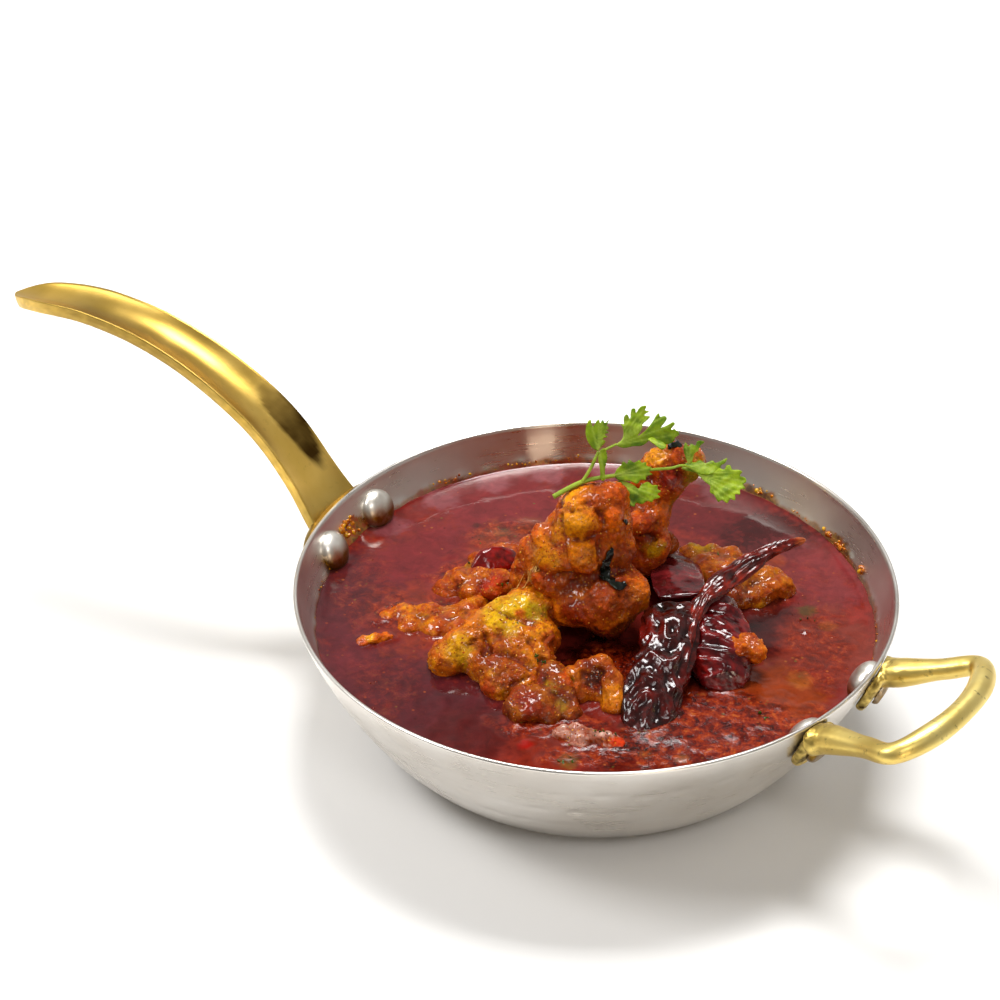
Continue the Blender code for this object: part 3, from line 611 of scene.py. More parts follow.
def makeLongHandle():
    shape = longHandle
    path = smoothPath([(x * mm, 0, z * mm) for x, z in shape["spine"]], 14)
    length = [0.0]
    for a, b in zip(path, path[1:]):
        length.append(length[-1] + (b - a).length)
    # start outside the wall, so that the root needs no cutting back
    start = next(i for i, p in enumerate(path)
                 if p.x < -wallRadius(min(p.z, 48.4 * mm)) - 0.5 * mm and p.z > 40 * mm)
    rings = []
    for i in range(start, len(path)):
        point = path[i]
        t = length[i] / length[-1]
        side = Vector((0, 1, 0))
        up = side.cross(heading(path, i))
        width = (shape["rootWidth"] + (shape["endWidth"] - shape["rootWidth"]) * t) * mm
        width += 3.5 * mm * (1 - smoothStep(0.0, 0.16, t))     # flares into its foot
        dish = shape["dish"] * mm * min(1.0, 3.2 * t)
        belly = shape["belly"] * mm
        edge = (shape["edge"] + 0.9 * t) * mm
        if t > shape["rounding"]:
            k = (t - shape["rounding"]) / (1 - shape["rounding"])
            width *= max(math.sqrt(max(1 - k * k, 0.0)), 0.1)
            dish *= 1 - k ** 1.5
            belly *= 1 - 0.5 * k
        bevel = shape["bevel"]
        half = width / 2
        # one edge from the top down: its rounded corner, then the side with the mould's
        # parting ridge
        flank = [(half - bevel + bevel * math.sin(a), -bevel * (1 - math.cos(a)))
                 for a in (math.pi / 2 * k / 4 for k in range(1, 4))]
        flank += [(half + shape["ridge"] * math.exp(-((k - 2.5) / 0.8) ** 2),
                   -bevel - (edge - 2 * bevel) * k / 5) for k in range(6)]
        # dished upper face, one edge, bellied underside, the other edge
        section = [(across * (half - bevel), -dish * (1 - across ** 2))
                   for across in (1 - k / 12 for k in range(25))]
        section += [(-x, z) for x, z in flank]
        section += [(across * (half - bevel), -edge - belly * (1 - across ** 2))
                    for across in (-1 + k / 8 for k in range(17))]
        section += reversed(flank)
        ring = []
        for across, lift in section:
            spot = point + side * across + up * lift
            ring.append(spot + up * wobble(spot, 16 * mm, 2, 9) * 0.12 * mm)
        rings.append(ring)
    mesh = meshFrom("longHandleBrass", *skinRings(rings))
    tidyMesh(mesh)
    handle = addPiece("longHandleBrass", mesh, handleBrass)
    joinSolids(handle, [makeWallPad(shape["azimuth"], *shape["foot"])])
    handle.data.shade_smooth()
    handle.data.set_sharp_from_angle(angle=math.radians(50))
    # painted reflection: a dark brown patch on the far half of the upper face, where the handle
    # mirrors a dark part of the room
    points, normals = meshArrays(handle.data)
    x, y = points[:, 0] / mm, points[:, 1] / mm
    ragged = noiseOver(points, 5 * mm, 3, 41)
    away = np.hypot((x + 110.5) / 12, (y - 6) / 4.8)
    stain = (np.clip((1.02 - away + 0.07 * ragged) / 0.2, 0, 1)
             * np.clip(0.6 + (x + 122) / 45 + 0.15 * ragged, 0, 0.98) * (normals[:, 2] > 0.1))
    # painted shade where the handle meets its foot on the wall
    corner = 0.35 * np.clip((x + 93) / 4, 0, 1) * np.clip(0.4 + ragged, 0, 1)
    cast = 0.3 * (np.abs(normals[:, 1]) > 0.7) * np.clip(0.7 + noiseOver(
        points, 1.8 * mm, 2, 42), 0, 1)
    storeValues(handle.data, "tarnishAndPaintedShade", np.maximum(np.maximum(stain, corner), cast))
    return handle


loopHandle = {
    "barStart": 12.6, "reach": 35.8, "halfWidth": 24.4, "rise": 0.44, "rootHeight": 42.5,
    "barRadius": 3.1,
    # how much thicker the bar is from one foot to the other
    "swell": (1.6, 1.45, 1.05, 1.0, 1.12, 1.05, 1.12, 1.0, 1.05, 1.45, 1.6),
    "azimuth": -10.3,
    # height, half width, half height and thickness of its feet
    "foot": (39.9 * mm, 6.4 * mm, 7.2 * mm, 2.9),
    "rivetSpread": 10.6, "rivetHeight": 39.4, "rivetReach": 3.2,
    "voxel": 0.36 * mm,
}


def makeLoopHandle():
    shape = loopHandle
    spread = math.radians(shape["barStart"])
    root = wallRadius(shape["rootHeight"] * mm) / mm
    footX, footY = root * math.cos(spread), root * math.sin(spread)
    side = [(1.5, footY), (7, footY - 0.6), (19, footY + 2.2),
            (28.5, shape["halfWidth"] - 0.8), (34, shape["halfWidth"] * 0.55)]
    outline = side + [(shape["reach"], 0)] + [(x, -y) for x, y in reversed(side)]
    turn = Matrix.Rotation(math.radians(shape["azimuth"]), 3, "Z")
    path = smoothPath([turn @ Vector(((footX + x) * mm, y * mm,
                                      (shape["rootHeight"] + shape["rise"] * x) * mm))
                       for x, y in outline], 12)
    rings = []
    for i, point in enumerate(path):
        ahead = heading(path, i)
        out = ahead.cross(Vector((0, 0, 1))).normalized()
        up = out.cross(ahead)
        radius = shape["barRadius"] * mm * ease(shape["swell"], i / (len(path) - 1))
        ring = []
        for a in circle(40):
            ridge = 1 + 0.07 * math.exp(-(math.sin(a) / 0.12) ** 2)     # parting line
            ring.append(point + out * radius * math.cos(a) * ridge
                        + up * radius * 0.92 * math.sin(a))
        rings.append(ring)
    mesh = meshFrom("loopHandleBrass", *skinRings(rings))
    tidyMesh(mesh)
    handle = addPiece("loopHandleBrass", mesh, loopBrass)
    joinSolids(handle, [makeWallPad(shape["azimuth"] + s * shape["rivetSpread"],
                                    *shape["foot"]) for s in (-1, 1)])
    remesh = handle.modifiers.new("cast", "REMESH")
    remesh.mode = "VOXEL"
    remesh.voxel_size = shape["voxel"]
    soften = handle.modifiers.new("soften", "SMOOTH")
    soften.factor = 0.5
    soften.iterations = 18
    bakeModifiers(handle)
    # the feet end on the wall's outer face
    points, _ = meshArrays(handle.data)
    face = np.array([wallRadius(z) for z in points[:, 2]]) + 0.25 * mm
    points[:, :2] *= np.maximum(face / np.hypot(points[:, 0], points[:, 1]), 1)[:, None]
    moveVerts(handle.data, points)
    points, normals = meshArrays(handle.data)
    grit = noiseOver(points, 1.6 * mm, 3, 2)
    pits = np.clip((noiseOver(points, 2.4 * mm, 2, 11) - 0.25) / 0.5, 0, 1)
    reach = np.hypot(points[:, 0], points[:, 1]) / mm - wallRadius(40 * mm) / mm
    worn = np.clip((14 - reach) / 10, 0.15, 1)
    moveVerts(handle.data,
              points + normals * (worn * (grit * 0.07 - pits * 0.2))[:, None] * mm)
    # old polish and soot where the feet meet the wall, painted darker there as shade in the crevice
    points, normals = meshArrays(handle.data)
    reach = np.hypot(points[:, 0], points[:, 1]) / mm - wallRadius(40 * mm) / mm
    soot = np.clip((9 - reach) / 7, 0, 1) * np.clip(0.35 + 0.9 * noiseOver(
        points, 2.6 * mm, 3, 14), 0, 1)
    storeValues(handle.data, "tarnishAndPaintedShade", soot)
    handle.data.materials.clear()
    handle.data.materials.append(loopBrass)
    handle.data.shade_smooth()
    return handle


rivetShape = {"head": 6.5, "rise": 4.2, "shank": 2.4, "tail": 4.0, "tailRise": 1.6,
              "headGap": 0.15, "tailGap": 0.3}


def makeRivet(name, shape, side):
    # turned about the wall's normal: domed head inside, upset tail outside the foot
    height = shape["rivetHeight"]
    seat = -panShape["wall"] / mm - rivetShape["headGap"]
    tailSeat = shape["rivetReach"] + rivetShape["tailGap"]
    profile = [(rivetShape["head"] * math.sin(a), seat - rivetShape["rise"] * math.cos(a))
               for a in (math.pi / 2 * i / 18 for i in range(1, 19))]
    profile += [(rivetShape["head"] - 0.15, seat), (rivetShape["shank"], seat),
                (rivetShape["shank"], tailSeat), (rivetShape["tail"], tailSeat)]
    profile += [(rivetShape["tail"] * (0.72 + 0.28 * math.cos(a)),
                 tailSeat + rivetShape["tailRise"] * math.sin(a))
                for a in (math.pi / 2 * i / 6 for i in range(1, 7))]
    profile += [(rivetShape["tail"] * 0.3, tailSeat + rivetShape["tailRise"] * 0.96)]
    angle = math.radians(shape["azimuth"] + shape["rivetSpread"] * side)
    radius = wallRadius(height * mm)
    frameMatrix = (Matrix.Translation((radius * math.cos(angle), radius * math.sin(angle),
                                       height * mm))
                   @ Matrix.Rotation(angle, 4, "Z")
                   @ Matrix.Rotation(math.pi / 2 + wallSlope(height * mm), 4, "Y"))
    rings = [[frameMatrix @ (Vector((r * math.cos(a), r * math.sin(a), z)) * mm)
              for a in circle(64)] for r, z in profile]
    mesh = meshFrom(name, *skinRings(rings))
    tidyMesh(mesh)
    mesh.set_sharp_from_angle(angle=math.radians(40))
    return addPiece(name, mesh, rivetSteel)


finishPiece(makeLongHandle(), "brass", "long_handle")
finishPiece(makeLoopHandle(), "brass", "loop_handle")
for number, side in ((1, -1), (2, 1)):
    for rivets, shape in (("long_handle_rivet", longHandle), ("loop_handle_rivet", loopHandle)):
        node = f"{rivets}_{number}"
        finishPiece(makeRivet(camelName(node), shape, side), "rivet_steel", node)


print("chicken, masala and chillies")

platingFrame = Matrix.Rotation(platingTurn, 4, "Z") @ Matrix.Scale(mm, 4)


def hollows(mesh, reach=30):
    # how deep each point lies below its surroundings, in mm
    points, normals = meshArrays(mesh)
    edges = np.empty(len(mesh.edges) * 2, dtype=np.int32)
    mesh.edges.foreach_get("vertices", edges)
    first, second = edges.reshape(-1, 2).T
    count = len(points)
    degree = np.maximum(np.bincount(first, minlength=count)
                        + np.bincount(second, minlength=count), 1)
    smooth = points.copy()
    for _ in range(reach):
        smooth = np.stack([(np.bincount(first, smooth[second, k], count)
                            + np.bincount(second, smooth[first, k], count)) / degree
                           for k in range(3)], axis=1)
    return ((smooth - points) * normals).sum(axis=1) / mm


def plated(points):
    inverse = np.array(platingFrame.inverted())
    return points @ inverse[:3, :3].T + inverse[:3, 3]


def paintMesh(mesh, tones, spots, seed=0.0, hollowShade=None, hollowDepth=0.5):
    # tones: three hex colours mixed by noise; spots: (x, y, z, radius, hex, strength)
    # in mm on the plate, each a patch with a ragged edge; hollowShade: the colour of painted shade
    # in sunken places
    points, _ = meshArrays(mesh)
    places = plated(points)
    broad = noiseOver(points, 5 * mm, 3, seed)
    fine = noiseOver(points, 1.6 * mm, 3, seed + 1)
    dark, middle, light = (np.array(hexColour(tone)[:3]) for tone in tones)
    share = np.clip(0.5 + 0.55 * broad + 0.3 * fine, 0, 1)[:, None]
    colour = np.where(share < 0.5, dark + (middle - dark) * share * 2,
                      middle + (light - middle) * (share * 2 - 1))

    def blend(tone, weight):
        return colour + (np.array(hexColour(tone)[:3]) - colour) * weight[:, None]

    ragged = 0.28 * broad + 0.22 * fine
    for x, y, z, radius, tone, strength in spots:
        away = np.linalg.norm(places - np.array((x, y, z)), axis=1) / radius + ragged
        colour = blend(tone, strength * np.clip((1.15 - away) / 0.5, 0, 1))
    # painted shade: sunken places are painted darker; painted highlight: raised places are painted
    # lighter
    if hollowShade:
        deep = hollows(mesh) / hollowDepth
        colour = blend(hollowShade, np.clip(deep - 0.15 + 0.5 * fine, 0, 1) * 0.8)
        colour = colour * (1 + 0.25 * np.clip(-deep, 0, 1)[:, None])
    tint = mesh.color_attributes.new("tint", "FLOAT_COLOR", "POINT")
    tint.data.foreach_set("color", np.hstack((np.clip(colour, 0, 1),
                                              np.ones((len(colour), 1)))).ravel())


def roughen(mesh, layers, seed=0.0):
    # layers: bump size in mm, height in mm, and how far the bumps keep to patches, 0 to 1
    points, normals = meshArrays(mesh)
    patch = np.clip(0.5 + 1.6 * noiseOver(points, 8 * mm, 2, seed + 9), 0, 1)
    for i, (size, height, patchy) in enumerate(layers):
        points, normals = meshArrays(mesh)
        bumps = noiseOver(points, size * mm, 2, seed + i) * (1 - patchy + patchy * patch)
        moveVerts(mesh, points + normals * (bumps * height * mm)[:, None])


def sculpt(mesh, strokes):
    # strokes: a line of points on the plate, width and depth in mm; below zero raises a ridge
    for line, width, depth in strokes:
        points, normals = meshArrays(mesh)
        places = plated(points)
        away = np.full(len(places), 1e9)
        for first, second in zip(line, line[1:]):
            start = np.array(first, dtype=float)
            step = np.array(second, dtype=float) - start
            along = np.clip(((places - start) @ step) / (step @ step), 0, 1)
            away = np.minimum(away, np.linalg.norm(places - start - along[:, None] * step,
                                                   axis=1))
        push = -depth * mm * np.exp(-(away / width) ** 2)
        moveVerts(mesh, points + normals * push[:, None])


def makeLump(name, shape):
    # the balls melt into each other; the surface is then sculpted and roughened
    meta = bpy.data.metaballs.new(name)
    meta.threshold = 0.6
    stiffness = 6.0
    grown = 100.0            # metaballs need large units
    cell = shape["cell"]
    meta.resolution = meta.render_resolution = cell * mm * grown
    reach = math.sqrt(1 - (meta.threshold / stiffness) ** (1 / 3))
    for x, y, z, radius in shape["balls"]:
        element = meta.elements.new()
        element.co = Vector((x, y, z)) * mm * grown
        element.radius = abs(radius) * 0.98 * mm * grown / reach
        element.use_negative = radius < 0
        element.stiffness = stiffness
    source = linkObject(name + "Balls", meta)
    mesh = bakedMesh(source)
    bpy.data.objects.remove(source)
    mesh.transform(Matrix.Rotation(platingTurn, 4, "Z") @ Matrix.Scale(1 / grown, 4))
    tidyMesh(mesh, cell * mm * 0.25)
    bm = bmesh.new()
    bm.from_mesh(mesh)
    for _ in range(5):
        bmesh.ops.smooth_vert(bm, verts=bm.verts[:], factor=0.5,
                              use_axis_x=True, use_axis_y=True, use_axis_z=True)
    bm.to_mesh(mesh)
    bm.free()
    sculpt(mesh, shape.get("strokes", ()))
    roughen(mesh, shape["layers"], shape["seed"])
    mesh.shade_smooth()
    return mesh


def makeChilli(shape, sides=96, steps=30):
    # flattened sections along a path in mm; the skin has dried into folds whose width and
    # length are given, round and along the chilli
    points = smoothPath(shape["path"], steps)
    around, along = shape["foldSize"]
    seed = shape["seed"]
    travelled = 0.0
    rings = []
    for i, point in enumerate(points):
        t = i / (len(points) - 1)
        if i:
            travelled += (point - points[i - 1]).length
        ahead = heading(points, i)
        side = ahead.cross(Vector((0, 0, 1))).normalized()
        up = side.cross(ahead)
        roll = math.radians(ease(shape["turns"], t))
        halfWidth = ease(shape["halfWidths"], t)
        halfHeight = ease(shape["halfHeights"], t)
        mean = (halfWidth + halfHeight) / 2
        fromEnd = min(t, 1 - t) / 0.06
        cap = 0.02 + 0.98 * math.sqrt(max(1 - (1 - fromEnd) ** 2, 0.0)) if fromEnd < 1 else 1.0
        ring = []
        for a in circle(sides):
            spot = Vector((math.cos(a) * mean / around, math.sin(a) * mean / around,
                           travelled / along + 0.25 * math.cos(a) * mean / along))
            fold = 1 - 2.2 * abs(wobble(spot, 1, 1, seed))
            pucker = wobble(spot, 0.45, 2, seed + 5)
            push = shape["foldDepth"] * (fold - 0.45 + 0.3 * pucker)
            wide = (halfWidth * math.cos(a) + push * math.cos(a)) * cap
            high = (halfHeight * math.sin(a) + push * math.sin(a)) * cap
            ring.append(platingFrame @ (
                point + side * (wide * math.cos(roll) - high * math.sin(roll))
                + up * (wide * math.sin(roll) + high * math.cos(roll))))
        rings.append(ring)
    mesh = meshFrom("chilli", *skinRings(rings))
    tidyMesh(mesh)
    return mesh


# Chicken stewed on the bone: wet meat and skin in a film of red oil and ground spice,
# so orange-brown with yellow fat showing through, glossy on top of a gritty surface.
def makeWetFood(name, roughLow, roughHigh, grit, wet, flecks, paste):
    material, tree, shader, place = startMaterial(
        name, Roughness=0.5, IOR=1.36, Specular_IOR_Level=0.2, Coat_Roughness=0.07)
    # the oil stands in pools of 3 to 4 mm
    pools = addNode(tree, "ShaderNodeTexNoise", {
        "Vector": place, "Scale": 260.0, "Detail": 4.0, "Roughness": 0.6})
    addNode(tree, "ShaderNodeMapRange", {
        "Value": pools, "From Min": 0.47, "From Max": 0.56, "To Min": 0.03, "To Max": wet},
        to=shader.inputs["Coat Weight"])
    small = addNode(tree, "ShaderNodeTexNoise", {
        "Vector": place, "Scale": 650.0, "Detail": 5.0, "Roughness": 0.65})
    toned = mottleTint(tree, small, 0.62, 1.45)
    # spice paste clings in smears of 2 to 3 mm
    smears = addNode(tree, "ShaderNodeTexNoise", {
        "Vector": place, "Scale": 330.0, "Detail": 6.0, "Roughness": 0.7, "Distortion": 0.5})
    smear = addNode(tree, "ShaderNodeMapRange", {
        "Value": smears, "From Min": 0.5, "From Max": 0.62, "To Min": 0.0, "To Max": paste})
    pasted = addNode(tree, "ShaderNodeMix", {0: smear, 6: toned, 7: hexColour("#8c2804")},
                     data_type="RGBA")
    # ground spice in grains of 0.7 mm
    mixed = laySpecks(tree, place, pasted, 1400.0, 0.72, 0.15, flecks, [
        (0.2, "#5e1804"), (0.5, "#9c300a"), (0.8, "#dc9c30")])
    oiled = addNode(tree, "ShaderNodeHueSaturation", {
        "Hue": 0.497, "Saturation": 1.3, "Value": 0.98, "Color": mixed})
    coarse = addNode(tree, "ShaderNodeTexNoise", {
        "Vector": place, "Scale": 620.0, "Detail": 6.0, "Roughness": 0.62})
    uneven = addNode(tree, "ShaderNodeMath", {0: coarse, 1: smears}, operation="ADD")
    finishMaterial(tree, shader, oiled, (uneven, grit, 1.0),
                   (small, 0.35, 0.65, roughLow, roughHigh))
    return material


spicedChicken = makeWetFood("stewedChicken", 0.35, 0.6, 0.6, 0.6, 0.45, 0.5)
onionMasala = makeWetFood("onionMasala", 0.3, 0.5, 0.6, 0.8, 0.5, 0.45)


# Dried red chilli soaked in hot oil: thin, almost black skin, wrinkled and very glossy
def makeChilliSkin():
    material, tree, shader, place = startMaterial(
        "driedChilliSkin", Roughness=0.2, IOR=1.45, Specular_IOR_Level=0.55)
    small = addNode(tree, "ShaderNodeTexNoise", {"Vector": place, "Scale": 520.0, "Detail": 3.0})
    veins = addNode(tree, "ShaderNodeTexNoise", {
        "Vector": place, "Scale": 700.0, "Detail": 3.0, "Distortion": 0.8})
    finishMaterial(tree, shader, mottleTint(tree, small, 0.55, 1.5), (veins, 0.25, 0.3),
                   (small, 0.35, 0.65, 0.07, 0.2))
    return material


chilliSkin = makeChilliSkin()

# colours for the food: the yellow fat colour also paints highlights on the thigh's bulges, the rust
# colour also paints its creases darker, and the dark brown is painted shade low on the thigh
yellowFatHighlight, paleFat, rosyMeat = "#c8841a", "#c9a44c", "#8f4a2c"
rustAndCreaseShade, underShadeBrown, oliveFat = "#8a2e08", "#401404", "#988030"
meatGrain = ((2.2, 0.42, 0.4), (1.1, 0.34, 0.5))     # the finest layers of the large pieces
foodPieces = {
    # balls: x, y, z, radius in mm on the plate; strokes: a line, its width and depth;
    # layers: size, height and patchiness of the bumps; spots: x, y, z, radius, colour,
    # strength
    "chicken_thigh": {
        "balls": [
            (-2, 2, 58, 13), (0, 0, 47, 11.5), (0, 3, 42, 10), (-3, 0, 71, 9.2),
            (3, 0.5, 68, 8), (-8.5, 0, 64.5, 7), (-5, -7, 61, 7.5), (-12.5, -7.5, 54.5, 7.2),
            (-16, -1, 56, 7.2), (-20, -2, 50.5, 5.6), (3.5, -2, 61, 7.2), (2, -11, 47, 9.5),
            (9, -8, 49, 7.6), (-7, -10.5, 46.5, 7), (4, -12, 44, 7),
            (4.5, 1, 76, 5.2), (-5.5, -3.5, 72.5, 6), (-13.5, -4, 62.5, 5), (-15.5, -3, 65.5, 3.6),
            (-4, -7.5, 66, 5), (4, -3.5, 73, 3.6), (6.5, -4, 60, 4.2), (11.5, -9.5, 51.5, 4),
            (-17.5, -4, 60, 3.4), (-9, -6, 67.5, 3.6)],
        "strokes": [
            (((-10.5, -2.4, 75.5), (-7, -7.1, 76.5), (-1.8, -4.9, 77.2), (1.1, -6.4, 76),
              (2.9, -7.8, 72.5)), 1.3, 1.5),
            (((-10.4, -6.4, 74.7), (-9.4, -9.1, 69.5), (-6.8, -11.1, 68.9)), 1.3, 1.2),
            (((-8.3, -10.1, 69.2), (-4.5, -11.3, 69.1), (-0.2, -9.5, 69.7), (3.6, -7.9, 70.4)),
             1.2, 1.4),
            (((-8.8, -10.6, 68.1), (-8.4, -13.2, 63.6), (-6.6, -14.2, 60.1)), 1.2, 1.3),
            (((-17.5, -10.5, 58.6), (-13, -13.1, 57.2), (-8.7, -13.4, 58.5),
              (-3.7, -12.9, 57.5), (1.5, -11.2, 57.6)), 1.5, 1.9),
            (((1.3, -8.9, 67.9), (1.4, -10.6, 62.8), (2.1, -11.4, 57.5)), 1.0, 0.9),
            (((5.8, -6, 66), (6.5, -8, 61), (7, -8.5, 57.5)), 1.2, 0.9),
            (((3.5, -13, 56), (8, -11, 55.6), (12.1, -10.6, 54.4), (14.2, -11.7, 52),
              (14.4, -10.9, 46.5)), 1.5, -1.3),
            (((-14, -9, 60.5), (-12, -10, 61.5)), 3.0, -0.9),
            (((-6, -9.5, 73), (-3.5, -9, 73.5)), 2.8, -1.0)],
        "cell": 0.44, "layers": ((10, 1.0, 0), (4, 0.4, 0.3), *meatGrain), "seed": 3,
        "tones": ("#7a2a04", "#a84a06", "#c26a0c"), "hollowShade": "#5a1802",
        # painted highlight: the bright yellow spot at the top; the yellow fat spots are fat with
        # painted highlight on bulges facing the light; the rust spots are spice with painted crease
        # shade; the two darkest spots, low at the front, are painted shade
        "spots": [(-6.3, -2, 78.5, 4.2, "#dc8c10", 0.95), (5, -1, 78, 6.5, "#a04c26", 0.9),
                  (-2, -4, 79, 4, "#a8501c", 0.7),
                  (-5.5, -8.5, 73.5, 6, yellowFatHighlight, 0.8), (-13.2, -7, 61.4, 6.4, yellowFatHighlight, 0.75),
                  (-3.6, -12, 66, 5, "#c47210", 0.8), (-10.5, -7, 69.5, 4, yellowFatHighlight, 0.6),
                  (-14.5, -12.3, 57, 4, rustAndCreaseShade, 0.8), (-9.5, -9, 66, 2.4, rustAndCreaseShade, 0.8),
                  (-1, -9.5, 69.5, 2.6, rustAndCreaseShade, 0.8), (4, -5.5, 74, 3.6, "#c05a14", 0.8),
                  (-20, -2.5, 60, 6, "#9c4208", 0.8), (8, -7, 60, 5, "#6e2e10", 0.8),
                  (1.7, -17.9, 52, 9, "#7c3006", 0.85), (8.9, -14.7, 50.5, 7, "#883a08", 0.9),
                  (12.7, -12.3, 52.5, 3, "#c8680e", 0.9), (-6.4, -17.4, 48, 4.6, "#7c280a", 0.9),
                  (-8.6, -13.3, 53, 4, rosyMeat, 0.8), (0, -15.7, 38.5, 7, underShadeBrown, 0.95),
                  (9, -17, 42, 5, "#4e2410", 0.9)]},
    "chicken_bone_end": {
        "balls": [
            (13, 20, 44, 9), (14, 22, 51, 7.8), (17, 26, 60, 6.8), (20.5, 28, 66.5, 7.4),
            (27, 29.6, 70.4, 6), (18, 28, 70.5, 5), (23.5, 29.6, 72.6, 5.2), (18, 29, 39.5, 5.5),
            (18.5, 17, 49.5, 4.6), (13, 16, 57, 4.5), (22, 24, 45, 3.8), (14, 25.6, 66.6, 4.2),
            (16.5, 21, 56, 6.2)],
        "strokes": [
            (((14, 18, 60), (16.3, 19.2, 59.4), (19.4, 20.1, 57.8)), 1.2, 0.9),
            (((13.3, 13, 55), (17.9, 14.3, 53.3), (22.1, 22, 48.8)), 1.2, 1.3),
            (((15, 26, 77), (18.8, 27.2, 76.2), (23.4, 26.2, 75.5)), 1.1, 0.9),
            (((15, 22, 70), (17.5, 22.5, 68.8), (20.5, 20.8, 68.2)), 1.2, 0.9)],
        "cell": 0.44, "layers": ((9, 0.9, 0), (4, 0.4, 0.3), *meatGrain), "seed": 13,
        "tones": ("#6e2406", "#983c0a", "#b85a14"), "hollowShade": "#4a1404",
        "spots": [(17.4, 26.6, 75, 4.5, "#c88414", 0.85), (29, 28, 69, 6, "#8c7a14", 0.9),
                  (23, 24, 60, 5, "#7a5a14", 0.8), (22, 24, 70, 4.5, "#6e180a", 0.85),
                  (18.1, 13.9, 50, 3.4, "#b08a34", 0.9), (22, 24, 46, 4, "#9a5424", 0.8),
                  (19, 19, 62, 4, "#b8560c", 0.7), (15.8, 16.2, 55, 4, "#84300a", 0.8),
                  (20, 21, 54.5, 5.5, "#c4682a", 0.9)]},
    "chicken_wing": {
        "balls": [
            (-13, -8, 44, 7.5), (-19, -12.5, 44.2, 8), (-25.5, -17.5, 43, 8),
            (-32, -21.5, 41, 7.6), (-38, -25, 39, 7), (-43, -27.5, 36.8, 5.8),
            (-26, -30, 38.2, 7.8), (-20.5, -36, 36.8, 7.2), (-16.5, -29.5, 39.6, 5.8),
            (-15.5, -21.5, 41.5, 6.2), (-21, -25, 42, 6.6), (-31.5, -30, 38, 6),
            (-26, -37, 35.5, 6.4), (-17.5, -25.5, 44, 3.4)],
        "strokes": [
            (((-33.5, -23.9, 47.5), (-31.4, -26.6, 45.9), (-30.6, -31, 43.9),
              (-32, -33.5, 38)), 1.3, 1.6),
            (((-31, -31.5, 43), (-26.6, -33.5, 44), (-22.6, -34, 44.3), (-18, -37, 42.5)),
             1.5, 1.8),
            (((-30, -19, 50), (-25, -22, 49.5), (-18, -23, 48.5)), 1.6, 1.3),
            (((-13.5, -14, 49.8), (-12.6, -21, 48.2), (-12, -26.4, 44.9)), 1.2, -0.5),
            (((-22.9, -41.4, 39.5), (-20.6, -41.5, 41.4), (-17.2, -40.5, 42.2)), 1.1, 1.1),
            (((-18.2, -29.8, 46.5), (-16.7, -32.1, 43.3), (-13.7, -34.5, 42.6)), 1.1, 0.9),
            (((-36, -19, 46), (-29, -15.5, 49.5), (-22, -12, 50.5)), 1.2, -0.6)],
        "cell": 0.44, "layers": ((9, 0.8, 0), (3.6, 0.35, 0.5), *meatGrain), "seed": 23,
        "tones": ("#7c3206", "#ac5608", "#c4801c"), "hollowShade": "#5a1e04",
        "spots": [(-27.3, -19.9, 49.5, 6.5, paleFat, 0.95), (-21.6, -17, 51, 5, paleFat, 0.9),
                  (-16.3, -19.4, 50, 4.2, oliveFat, 0.85), (-23.7, -25, 48, 4, "#c0963c", 0.8),
                  (-39.1, -28.6, 42.5, 5.2, "#bc8a1c", 0.9), (-36.5, -29, 39, 3.5, "#9c7c20", 0.8),
                  (-42.2, -24, 43, 3.4, "#a84c08", 0.85), (-43, -32, 38, 3, "#b05a08", 0.8),
                  (-21.5, -21, 50.4, 2, "#b44208", 0.9), (-32.8, -27.1, 44, 3, "#84420c", 0.85),
                  (-28.2, -31.7, 43.8, 5, "#7c340c", 0.85), (-25, -38.5, 41.8, 7, "#80380a", 0.9),
                  (-29.3, -41, 36, 4, "#8a3a24", 0.8), (-16.8, -30.7, 44, 4, "#b06412", 0.7),
                  (-34.5, -22, 47, 3.5, "#b8640a", 0.8), (-12.5, -26.9, 45, 3.4, "#8c3406", 0.8)]},
    "chicken_strips": {
        "balls": [
            (-20, -47, 35.5, 6), (-15, -45, 36.5, 5.6), (-12, -37, 39.4, 5),
            (-10, -41, 38.4, 4.8), (-8, -45, 36.4, 4.4), (-6, -48, 34.5, 3.8),
            (-17, -49, 36.6, 4), (-12.5, -49, 35, 4.4)],
        "strokes": [
            (((-13.6, -39.2, 41.3), (-14, -44.5, 40.2), (-13.4, -48.6, 37.6)), 1.0, 1.3),
            (((-9.4, -36.8, 42.2), (-9.6, -41.8, 41), (-9.4, -46.6, 38.4)), 0.9, 0.9)],
        "cell": 0.48, "layers": ((6, 0.9, 0), (3, 0.35, 0), (1.6, 0.3, 0.6), (0.8, 0.14, 0.6)),
        "seed": 33,
        "tones": ("#4c1604", "#70300a", "#905018"), "hollowShade": "#300c02",
        "spots": [(-18, -49, 39, 4.5, "#7c240a", 0.8), (-11.5, -43.5, 40, 2.6, "#8a6a18", 0.9),
                  (-9, -48, 37, 2.6, "#94701c", 0.85), (-7.9, -40.5, 41, 3, "#a84608", 0.8),
                  (-13.3, -49.5, 36, 3, "#8a4a30", 0.7)]},
    "chicken_skin": {
        "balls": [
            (-5.3, -41, 36.5, 3.8), (-4.4, -37.5, 39, 3.7), (-1.6, -35, 41, 3.6),
            (2.4, -34.5, 41.4, 3.7), (4.8, -37.5, 39.5, 3.8), (5.6, -41, 37.5, 4.1),
            (6.2, -44.5, 35.5, 3.9), (0, -35.5, 43, 2), (0, -34.5, 37.5, 5.2),
            (-6, -37.5, 41, 2.2), (3.5, -40, 41, 1.8), (0.6, -37.5, 35.5, 4.8)],
        "strokes": [
